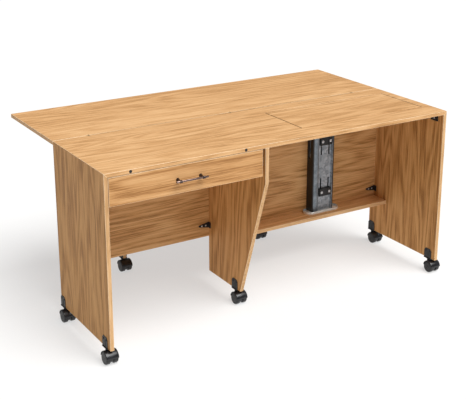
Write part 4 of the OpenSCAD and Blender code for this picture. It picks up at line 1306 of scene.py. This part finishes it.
@dataclass
class Lift:
    """Steel column on its plate, the clamp blocks, and the arms that carry the platform."""

    column_half: float = 51.5
    column_y: Pair = (-56.0, -11.0)
    column_z: Pair = (242.0, 705.0)
    strip: float = 28.0
    recess: float = 8.0
    sheet: float = 2.5
    rail: float = 6.0
    pin_y: float = -29.5
    pin_z: float = 690.0
    travel: float = 170.0
    block_zs: Pair = (328.0, 568.0)
    block_half: Pair = (32.0, 19.0)
    block_thick: float = 11.0
    slot_pitch: float = 42.0
    slot_half: float = 3.5
    slot_y: Pair = (-60.0, -44.0)
    slot_ends: Pair = (9.5, 65.0)
    pin_radius: float = 5.0
    pin_slot_half: float = 6.0
    rail_slot_half: float = 8.0
    rail_slot_below: float = 27.0
    pad_half: Pair = (10.0, 16.0)
    bolt_radius: float = 4.5
    bolt_height: float = 3.0
    plate_half: float = 60.0
    plate_radius: float = 31.5
    arc_steps: int = 25
    rim_half: Pair = (1.5, 3.2)
    rim_rise: float = 7.0
    rim_end: float = 58.3
    arm_x: float = 58.5
    arm_thick: float = 3.0
    arm_low: float = 640.0
    arm_y: Pair = (-293.0, -13.0)
    cheek_y: float = -53.0
    flange_width: float = 30.0
    flange_rear: float = -69.0
    arm_screw_x: float = 18.0
    arm_screw_ys: Triple = (-95.0, -185.0, -275.0)
    shoe_x: float = 51.7
    shoe_half: float = 7.8
    shoe_z: Pair = (665.0, 705.0)

    @property
    def block_x(self) -> float:
        """Middle of the recessed plate and its blocks."""
        return PLAN.lift_x + self.column_half - (2 * self.column_half - self.strip) / 2

    def plate_slots(self) -> list[Box]:
        """Boxes of the four adjustment slots: up from the lower block, down from the upper one."""
        low, high = self.block_zs
        start, reach = self.slot_ends
        spans = [(low - start, low + reach), (high - reach, high + start)]
        found = []
        for z in spans:
            for side in (-1, 1):
                x = self.block_x + side * self.slot_pitch / 2
                found.append(((x - self.slot_half, x + self.slot_half), self.slot_y, z))
        return found

    def build_column(self) -> None:
        """The folded column: a tube with a front strip and a plate that stands back from it."""
        x0, x1 = PLAN.lift_x - self.column_half, PLAN.lift_x + self.column_half
        y0, y1 = self.column_y
        z0, z1 = self.column_z
        sheet = self.sheet
        plate_y = y0 + self.recess
        strip_x = x0 + self.strip
        tall = (z0, z1)
        half = self.pin_slot_half
        pin_y = (self.pin_y - half, self.pin_y + half)
        pin_slot = ((x0, x1), pin_y, (self.pin_z - self.travel - half, z1))
        solids = [((x0, x1), (plate_y, y1), tall), ((x1 - sheet, x1), (y0, y1), tall)]
        hollow = ((x0 + sheet, x1 - sheet), (plate_y + sheet, y1 - sheet), (z0 + sheet, z1))
        holes = [hollow, pin_slot, *self.plate_slots()]
        planes = tuple([v for box in solids + holes for v in box[axis]] for axis in range(3))
        planes = (planes[0], [v for v in planes[1] if y0 <= v <= y1], planes[2])
        form = cell_solid(planes, holes, solids)
        look = Look(Slot.GALVANISED, TOWER_PLATE)
        finished("lift_tower", form, "carcass", look, ["lift_column"], 0.6)
        strip = prism(rounded(rectangle(x0, strip_x, y0, plate_y + 1.0), 3.2), Axis.Z, z0, z1)
        look = Look(Slot.GALVANISED, TOWER_STRIP)
        finished("lift_tower_strip", strip, "carcass", look, ["lift_column"], 0.4)

    def build_rails(self) -> None:
        """Black guide rails on both sides of the column, slotted for the pin and the shoes."""
        forms = []
        slot_y = (self.pin_y - self.rail_slot_half, self.pin_y + self.rail_slot_half)
        slot_z = (self.pin_z - self.travel - self.rail_slot_below, self.column_z[1])
        for side in (-1, 1):
            inner = PLAN.lift_x + side * self.column_half
            outer = inner + side * self.rail
            x = ordered(inner, outer)
            slot = (x, slot_y, slot_z)
            planes = (x, (*self.column_y, *slot_y), (*self.column_z, slot_z[0]))
            forms.append(cell_solid(planes, [slot]))
        look = Look(Slot.BLACK_PLASTIC, BLACK_PLASTIC)
        finished("tower_guide_rails", forms, "carcass", look, ["lift_guide_rails"], 0.7)

    def build_blocks(self) -> None:
        """Clamp blocks with a stepped face, two bright screws each."""
        plate_y = self.column_y[0] + self.recess
        front = plate_y - self.block_thick
        half_x, half_z = self.block_half
        pad_x, pad_z = self.pad_half
        blocks, heads = [], []
        for z in self.block_zs:
            base = rectangle(
                self.block_x - half_x, self.block_x + half_x, z - half_z, z + half_z
            )
            blocks.append(prism(rounded(base, 3.0), Axis.Y, front + 2.0, plate_y))
            for side in (-1, 1):
                x = self.block_x + side * self.slot_pitch / 2
                pad = rectangle(x - pad_x, x + pad_x, z - pad_z, z + pad_z)
                blocks.append(prism(rounded(pad, 3.0), Axis.Y, front, front + 3.0))
                at = (x, front, z)
                heads.append(pan_head(Axis.Y, at, self.bolt_radius, self.bolt_height, 1))
                washer = [(0.0, 0.3), (6.2, 0.3), (6.2, -0.8), (0.0, -0.8)]
                heads.append(revolved(washer, Axis.Y, at, 24))
        black = Look(Slot.BLACK_PLASTIC, BLACK_PLASTIC)
        finished("tower_clamp_blocks", blocks, "carcass", black, ["lift_clamp_blocks"], 0.8)
        bright = Look(Slot.BRIGHT_STEEL, BRIGHT_STEEL)
        finished("tower_block_screws", heads, "carcass", bright, ["lift_block_screws"], 0.0)

    def rim_path(self) -> tuple[np.ndarray, np.ndarray]:
        """Middle line of the plate's rim with its outward directions.

        It starts behind the column on the left, follows the left half circle, the front and the
        right half circle, and ends behind the column on the right.

        Returns:
            The path's points and unit directions, as rows of X and Y.
        """
        inset = self.plate_radius - self.rim_half[0]
        steps = self.arc_steps
        left = np.linspace(0.5, 1.5, steps) * math.pi
        right = np.linspace(-0.5, 0.5, steps) * math.pi
        turn = np.concatenate([[left[0]], left, right, [right[-1]]])
        way = np.stack([np.cos(turn), np.sin(turn)], axis=1)
        ends = np.repeat([-self.plate_half, self.plate_half], steps + 1)
        ends[[0, -1]] = [-self.rim_end, self.rim_end]
        middle = np.stack([PLAN.lift_x + ends, np.full(len(ends), PLAN.plate_y)], axis=1)
        return middle + way * inset, way

    def build_plate(self) -> None:
        """Chromed base: a round-ended plate with a rolled rim."""
        low = PLAN.shelf_top
        steps = self.arc_steps
        arcs = [np.linspace(0.5, 1.5, steps), np.linspace(-0.5, 0.5, steps)]
        angle = np.concatenate(arcs) * math.pi
        ends = np.repeat([-self.plate_half, self.plate_half], steps)
        x = PLAN.lift_x + ends + self.plate_radius * np.cos(angle)
        y = PLAN.plate_y + self.plate_radius * np.sin(angle)
        plate = prism(np.stack([x, y], axis=1), Axis.Z, low, low + PLAN.plate_thick)
        path, way = self.rim_path()
        turn = np.linspace(0.0, 2.0 * math.pi, 16, endpoint=False)
        out = self.rim_half[0] * np.cos(turn)
        up = low + self.rim_rise + self.rim_half[1] * np.sin(turn)
        rim = np.empty((len(path), len(turn), 3))
        rim[..., :2] = path[:, None, :] + way[:, None, :] * out[None, :, None]
        rim[..., 2] = up
        look = Look(Slot.CHROME_PLATE, CHROME)
        forms = [plate, swept(rim)]
        finished("tower_base_plate", forms, "carcass", look, ["lift_base_plate"], 0.0)

    def build_carriage(self) -> None:
        """Two arms with folded flanges, the shoes in the rails and the platform's screws."""
        (tip, rear), cheek = self.arm_y, self.cheek_y
        top, low = PLAN.under - self.arm_thick, self.arm_low
        web = [
            (rear, low), (rear, top), (tip, top), (tip, top - 18.0), (cheek, low + 10.0),
            (cheek + 5.0, low),
        ]
        arms, shoes, heads = [], [], []
        for side in (-1, 1):
            near = PLAN.lift_x + side * self.arm_x
            far = near + side * self.arm_thick
            edge = near + side * self.flange_width
            arms.append(prism(rounded(web, 2.0), Axis.X, *ordered(near, far)))
            flange = rounded(rectangle(*ordered(near, edge), tip, self.flange_rear), 3.0)
            arms.append(prism(flange, Axis.Z, top, PLAN.under))
            inner = PLAN.lift_x + side * self.shoe_x
            shoe_y = (self.pin_y - self.shoe_half, self.pin_y + self.shoe_half)
            shoe = rounded(rectangle(*shoe_y, *self.shoe_z), 2.0)
            shoes.append(prism(shoe, Axis.X, *ordered(inner, near)))
            for y in self.arm_screw_ys:
                at = (near + side * self.arm_screw_x, y, top)
                heads.append(pan_head(Axis.Z, at, 3.8, 1.6, 1))
        black = Look(Slot.BLACK_STEEL, BLACK_STEEL)
        finished("platform_arms", arms, "lift_carriage", black, ["lift_arms"], 0.4)
        white = Look(Slot.WHITE_NYLON, WHITE_NYLON)
        finished("carriage_shoes", shoes, "lift_carriage", white, ["slide_shoes"], 0.5)
        bright = Look(Slot.BRIGHT_STEEL, BRIGHT_STEEL)
        finished("platform_screw_heads", heads, "lift_carriage", bright, ["platform_screws"], 0.0)
        half = self.arm_x + self.arm_thick
        at = (PLAN.lift_x, self.pin_y, self.pin_z)
        pin = rod(Axis.X, at, self.pin_radius, -half, half)
        finished("carriage_pin", pin, "lift_carriage", bright, ["lift_cross_pin"], 0.0)

    def build(self) -> None:
        """Builds every piece of the lift."""
        self.build_column()
        self.build_rails()
        self.build_blocks()
        self.build_plate()
        self.build_carriage()
        dressed("gas_spring_cylinder", BLACK_STEEL)
        dressed("gas_spring_foot", GALVANISED)
        dressed("gas_spring_rod", CHROME)


@dataclass
class Caster:
    """A hooded caster with two wheels on one axle, under a steel saddle."""

    place: str
    x: float
    y: float
    trail: float = 20.0
    wheel_radius: float = 25.0
    wheel_in: float = 6.5
    wheel_out: float = 25.5
    hood_radius: float = 29.0
    hood_half: float = 26.0
    hood_inner: float = 26.2
    saddle_half: Pair = (13.0, 22.0)
    saddle_tall: float = 44.0
    saddle_base: float = 3.0
    saddle_thick: float = 2.0
    bolt_y: float = 12.0
    bolt_z: float = 32.0
    bolt_radius: float = 4.0
    bolt_height: float = 2.0

    @property
    def axle(self) -> Triple:
        """Middle of the axle."""
        return (self.x, self.y - self.trail, self.wheel_radius)

    def hood(self) -> Form:
        """The cover over both wheels: one closed section turned about the axle.

        The section's width and height shrink towards both ends, so that the cover's lips are thin
        and rounded.
        """
        half, outer, lining = self.hood_half, self.hood_radius, self.hood_inner
        section = np.array(
            [
                (-half, 25.7), (-half, 26.6), (-half + 0.5, 27.7), (-half + 1.4, 28.6),
                (-half + 3.0, outer), (0.0, outer), (half - 3.0, outer), (half - 1.4, 28.6),
                (half - 0.5, 27.7), (half, 26.6), (half, 25.7), (half - 1.5, 25.7),
                (half - 1.9, lining), (0.0, lining), (-half + 1.9, lining), (-half + 1.5, 25.7),
            ]
        )
        turn = np.linspace(6.0, 176.0, 36) * math.pi / 180.0
        close = np.clip(np.minimum(turn - turn[0], turn[-1] - turn) / 0.16, 0.0, 1.0)
        slim = (0.35 + 0.65 * np.sin(close * math.pi / 2))[:, None]
        radius = lining + (section[:, 1] - lining) * slim
        ring = np.empty((len(turn), len(section), 3))
        ring[..., 0] = self.axle[0] + section[:, 0] * (0.96 + 0.04 * slim)
        ring[..., 1] = self.axle[1] + radius * np.cos(turn)[:, None]
        ring[..., 2] = self.axle[2] + radius * np.sin(turn)[:, None]
        return swept(ring)

    def web(self) -> Form:
        """The plate between the wheels: a disc that swells out to meet the hood above."""
        turn = np.linspace(0.0, 2.0 * math.pi, 72, endpoint=False)
        rise = np.clip((np.sin(turn) - 0.12) / 0.25, 0.0, 1.0)
        radius = 20.0 + 6.8 * rise * rise * (3.0 - 2.0 * rise)
        outline = np.stack(
            [self.axle[1] + radius * np.cos(turn), self.axle[2] + radius * np.sin(turn)], axis=1
        )
        return prism(outline, Axis.X, self.x - 5.5, self.x + 5.5)

    def fork_forms(self) -> list[Form]:
        """Hood, web, stem boss, stem and the axle's domed ends."""
        boss = [
            (0.0, 26.0), (7.0, 26.0), (8.5, 29.0), (8.5, 53.0), (10.5, 54.2), (10.5, 55.8),
            (9.8, 56.6), (0.0, 56.6),
        ]
        stem = rod(Axis.Z, (self.x, self.y, 0.0), 4.0, 54.0, 82.0)
        axle = [
            (0.0, -25.9), (2.2, -25.8), (3.4, -25.4), (4.0, -24.6), (4.0, 24.6), (3.4, 25.4),
            (2.2, 25.8), (0.0, 25.9),
        ]
        return [
            self.hood(), self.web(), revolved(boss, Axis.Z, (self.x, self.y, 0.0), 32), stem,
            revolved(axle, Axis.X, self.axle, 24),
        ]

    def wheel(self, side: int) -> Form:
        """One wheel: crowned tread, round shoulders, a dished outer face and its hub ring."""
        r, low, high = self.wheel_radius, self.wheel_in, self.wheel_out
        profile = [
            (4.05, low), (17.0, low), (22.6, low + 0.4), (24.3, low + 1.5), (24.9, low + 3.2),
            (r, low + 8.0), (24.9, high - 4.6), (24.3, high - 2.4), (22.9, high - 0.9),
            (20.6, high - 0.25), (18.6, high - 0.3), (18.0, high - 1.3), (17.2, high - 1.3),
            (16.6, high - 0.5), (11.0, high - 0.1), (8.4, high - 0.1), (7.8, high - 0.9),
            (7.2, high - 0.9), (6.6, high - 0.1), (4.05, high - 0.3),
        ]
        turned = [(radius, side * along) for radius, along in profile]
        return revolved(turned, Axis.X, self.axle, 56, ring=True)

    def saddle(self) -> list[Form]:
        """Bracket that clasps the board's lower edge, with two bolts on each cheek."""
        foot, tall = PLAN.foot, self.saddle_tall
        half_x, half_y = self.saddle_half
        base = rectangle(self.x - half_x, self.x + half_x, self.y - half_y, self.y + half_y)
        forms = [prism(rounded(base, 3.0), Axis.Z, foot - self.saddle_base, foot)]
        for side in (-1, 1):
            near = self.x + side * PLAN.thick / 2
            far = near + side * self.saddle_thick
            cheek = rounded(
                [
                    (self.y - half_y, foot - PLAN.clearance), (self.y - half_y, foot + tall - 10.0),
                    (self.y - half_y + 8.0, foot + tall), (self.y + half_y - 8.0, foot + tall),
                    (self.y + half_y, foot + tall - 10.0), (self.y + half_y, foot - PLAN.clearance),
                ],
                1.8,
            )
            forms.append(prism(cheek, Axis.X, *ordered(near, far)))
            rib = rounded(rectangle(self.y - 5.0, self.y + 5.0, foot + 3.0, foot + 24.0), 2.0)
            forms.append(prism(rib, Axis.X, *ordered(far - side, far + side)))
            for y in (self.y - self.bolt_y, self.y + self.bolt_y):
                at = (far, y, foot + self.bolt_z)
                forms.append(pan_head(Axis.X, at, self.bolt_radius, self.bolt_height, -side))
        return forms

    def build(self) -> None:
        """Builds the fork and the wheels; the saddle belongs to what carries the caster."""
        body = f"caster_{self.place}"
        look = Look(Slot.BLACK_PLASTIC, HOOD_PLASTIC)
        replaced = [f"caster_hood_{self.place}"]
        finished(f"{body}_cover", self.fork_forms(), f"{body}_fork", look, replaced, 0.0)
        wheels = [self.wheel(-1), self.wheel(1)]
        look = Look(Slot.WHEEL_NYLON, WHEEL_NYLON)
        replaced = [f"caster_wheels_{self.place}"]
        finished(f"{body}_rollers", wheels, f"{body}_wheels", look, replaced, 0.0)


@dataclass
class GateLeg:
    """A swing-out leg behind the back panel, on two hinges, with its caster."""

    place: str
    middle: float
    side: int
    front: float = 12.0
    edge_z: float = 262.0
    head_z: float = 733.0
    caster_y: float = 323.0
    foot_half: float = 22.0
    foot_rise: float = 100.0
    hinge_zs: Pair = (302.0, 643.0)
    pin_y: float = 10.0
    knuckle: float = 4.0
    plate: float = 1.6
    plate_width: float = 30.0
    hinge_height: float = 60.0
    pin_offset: float = 5.0
    pin_hole: float = 2.05
    gap: float = 0.3
    leaf_gap: float = 0.5
    screw_steps: Triple = (-18.0, 0.0, 18.0)
    screw_aside: Pair = (3.0, -4.0)
    screw_radius: float = 3.2
    screw_height: float = 1.2

    @property
    def pin_x(self) -> float:
        """Place of the hinge pins."""
        return self.middle + self.side * (PLAN.thick / 2 + self.pin_offset)

    def aside(self, step: float) -> float:
        """How far a screw stands beside its leaf's middle: the middle one on the other side."""
        return self.screw_aside[0] if step else self.screw_aside[1]

    def build_board(self) -> None:
        """The leg itself: a board that narrows towards its foot."""
        y, half = self.caster_y, self.foot_half
        outline = [
            (self.front, self.edge_z), (self.front, self.head_z), (y + half, self.head_z),
            (y + half, PLAN.foot), (y + PLAN.bore, PLAN.foot),
            (y + PLAN.bore, PLAN.foot + PLAN.bore_depth),
            (y - PLAN.bore, PLAN.foot + PLAN.bore_depth), (y - PLAN.bore, PLAN.foot),
            (y - half, PLAN.foot), (y - half, self.foot_rise),
        ]
        form = prism(outline, Axis.X, self.middle - PLAN.thick / 2, self.middle + PLAN.thick / 2)
        look = Look(Slot.OAK_UPRIGHT, OAK_GATE, OAK_END_Z, Axis.Y, OAK_RIM_BAND_AND_HIGHLIGHT)
        name = f"gate_leg_{self.place}"
        finished(f"gate_board_{self.place}", form, f"gate_{self.place}", look, [name], RIM)

    def knuckle_ring(self, low: float, high: float) -> Form:
        """One rolled knuckle round the pin."""
        hole, soft = self.pin_hole, self.knuckle - 0.3
        profile = [(hole, low), (soft, low), (self.knuckle, low + 0.3)]
        profile += [(self.knuckle, high - 0.3), (soft, high), (hole, high)]
        return revolved(profile, Axis.Z, (self.pin_x, self.pin_y, 0.0), 28, ring=True)

    def fixed_halves(self) -> list[Form]:
        """Hinge leaves on the back panel, each with two knuckles and two screws."""
        forms = []
        near = self.pin_x + self.side * (self.knuckle + self.leaf_gap)
        far = self.pin_x + self.side * self.plate_width
        face = PLAN.back_rear
        third = self.hinge_height / 3
        for z in self.hinge_zs:
            low = z - self.hinge_height / 2
            leaf = rounded(rectangle(*ordered(near, far), low, low + self.hinge_height), 2.0)
            forms.append(prism(leaf, Axis.Y, face, face + self.plate))
            below = (low, low + third - self.gap)
            above = (low + 2 * third + self.gap, low + 3 * third)
            for start, end in (below, above):
                forms.append(self.knuckle_ring(start, end))
                tongue = rectangle(*ordered(self.pin_x, near + self.side), start, end)
                forms.append(prism(tongue, Axis.Y, face, face + self.plate))
            for step in self.screw_steps:
                x = (near + far) / 2 + self.side * self.aside(step)
                at = (x, face + self.plate, z + step)
                forms.append(pan_head(Axis.Y, at, self.screw_radius, self.screw_height, -1))
        return forms

    def moving_halves(self) -> list[Form]:
        """Hinge leaves on the leg, each with one knuckle and its screws."""
        forms = []
        inner = self.middle + self.side * PLAN.thick / 2
        outer = inner + self.side * self.plate
        x = ordered(inner, outer)
        third = self.hinge_height / 3
        start = self.pin_y + self.knuckle + self.leaf_gap
        end = self.pin_y + self.plate_width
        for z in self.hinge_zs:
            low = z - self.hinge_height / 2
            leaf = rounded(rectangle(start, end, low, low + self.hinge_height), 2.0)
            forms.append(prism(leaf, Axis.X, *x))
            middle = (low + third + self.gap, low + 2 * third - self.gap)
            tongue = rectangle(self.pin_y, start + self.leaf_gap, *middle)
            forms.append(prism(tongue, Axis.X, *x))
            forms.append(self.knuckle_ring(*middle))
            for step in self.screw_steps:
                at = (outer, (start + end) / 2 + self.aside(step), z + step)
                forms.append(pan_head(Axis.X, at, self.screw_radius, self.screw_height, -self.side))
        return forms

    def build(self) -> None:
        """Builds the leg's board and what is screwed to it."""
        self.build_board()
        caster = Caster(f"gate_{self.place}", self.middle, self.caster_y)
        black = Look(Slot.BLACK_STEEL, BLACK_STEEL)
        forms = self.moving_halves() + caster.saddle()
        name = f"gate_{self.place}_fittings"
        finished(f"{name}_set", forms, f"gate_{self.place}", black, [name], 0.3)
        caster.build()


@dataclass
class Underframe:
    """Everything below and behind the carcass: casters, saddles, gate legs and their hinges."""

    left_gate_x: float = -380.0
    right_gate_x: float = 344.0

    def carcass_casters(self) -> list[Caster]:
        """The five casters under the uprights."""
        left = PLAN.left + PLAN.thick / 2
        right = PLAN.right - PLAN.thick / 2
        return [
            Caster("left_front", left, PLAN.caster_front),
            Caster("left_rear", left, PLAN.caster_rear),
            Caster("middle", PLAN.middle + PLAN.thick / 2, PLAN.caster_middle),
            Caster("right_front", right, PLAN.caster_front),
            Caster("right_rear", right, PLAN.caster_rear),
        ]

    def build(self) -> None:
        """Builds the casters, then both gate legs and the hinge leaves on the back panel."""
        casters = self.carcass_casters()
        saddles = [form for caster in casters for form in caster.saddle()]
        black = Look(Slot.BLACK_STEEL, BLACK_STEEL)
        finished("caster_saddles", saddles, "carcass", black, ["caster_brackets"], 0.3)
        for caster in casters:
            caster.build()
        legs = [GateLeg("left", self.left_gate_x, -1), GateLeg("right", self.right_gate_x, 1)]
        for leg in legs:
            leg.build()
        halves = [form for leg in legs for form in leg.fixed_halves()]
        zinc = Look(Slot.GALVANISED, GALVANISED)
        finished("gate_hinge_leaves", halves, "carcass", zinc, ["gate_hinge_plates"], 0.2)
        dressed("gate_hinge_pins", BRIGHT_STEEL)


@dataclass
class Studio:
    """Camera, floor and soft lights."""

    camera_at: Triple = (-2.163, -3.531, 1.889)
    yaw: float = 31.58
    pitch: float = 17.64
    lens: float = 78.2
    shift_y: float = -0.1
    floor_half: float = 60.0
    floor_glow: float = 0.54
    sky: float = 0.18
    sun: float = 4.0
    sun_width: float = 44.0
    sun_from: Triple = (0.16, -0.46, 0.873)
    sensor: float = 36.0
    reach: float = 200.0
    sun_far: float = 3.0

    def build_camera(self) -> None:
        """The camera looks along +Y turned by yaw towards +X and tipped down by pitch."""
        data = bpy.data.cameras.new("camera")
        data.sensor_width = self.sensor
        data.lens = self.lens
        data.shift_y = self.shift_y
        data.clip_end = self.reach
        camera = bpy.data.objects.new("camera", data)
        camera.location = self.camera_at
        tilt = (math.radians(90.0 - self.pitch), 0.0, math.radians(-self.yaw))
        camera.rotation_euler = Euler(tilt)
        bpy.context.scene.collection.objects.link(camera)
        bpy.context.scene.camera = camera

    def build_sun(self) -> None:
        """A broad sun: soft-edged light of the same strength everywhere on the floor."""
        data = bpy.data.lights.new("key", "SUN")
        data.energy = self.sun
        data.angle = math.radians(self.sun_width)
        data.color = (1.0, 0.995, 0.98)
        lamp = bpy.data.objects.new("key", data)
        lamp.location = tuple(self.sun_far * v for v in self.sun_from)
        x, y, z = self.sun_from
        lamp.rotation_euler = (math.atan2(math.hypot(x, y), z), 0.0, math.atan2(x, -y))
        bpy.context.scene.collection.objects.link(lamp)

    def build_stage(self) -> None:
        """A pale floor that glows faintly, a dim even sky and the sun."""
        scene = bpy.context.scene
        scene.view_settings.view_transform = "Standard"
        world = bpy.data.worlds.new("sky")
        world.use_nodes = True
        sky = world.node_tree.nodes["Background"]
        sky.inputs["Color"].default_value = (1.0, 1.0, 1.0, 1.0)
        sky.inputs["Strength"].default_value = self.sky
        scene.world = world
        half = self.floor_half
        mesh = bpy.data.meshes.new("floor")
        corners = [(-half, -half, 0.0), (half, -half, 0.0), (half, half, 0.0), (-half, half, 0.0)]
        mesh.from_pydata(corners, [], [(0, 1, 2, 3)])
        floor = bpy.data.objects.new("floor", mesh)
        scene.collection.objects.link(floor)
        graph = Graph("pale_floor")
        speck = graph.noise(graph.place, 3.0, 3.0)
        colour = graph.colours(speck, [(0.3, (0.37, 0.37, 0.37)), (0.7, (0.39, 0.39, 0.39))])
        inputs = {
            "Base Color": colour, "Roughness": 0.95, "Specular IOR Level": 0.0,
            "Emission Color": (1.0, 1.0, 1.0, 1.0), "Emission Strength": self.floor_glow,
        }
        graph.put(graph.shader, inputs)
        mesh.materials.append(graph.material)
        self.build_sun()


def main() -> None:
    """Builds the camera first, then each assembly in order."""
    logging.basicConfig(level=logging.INFO, format="%(name)s: %(message)s")
    studio = Studio()
    studio.build_camera()
    builders: list[tuple[str, Callable[[], None]]] = [
        ("worktop", Worktop().build), ("carcass", Carcass().build), ("drawer", Drawer().build),
        ("lift", Lift().build), ("underframe", Underframe().build), ("stage", studio.build_stage),
    ]
    for name, build in builders:
        LOG.info("building the %s", name)
        build()


if __name__ == "__main__":
    main()
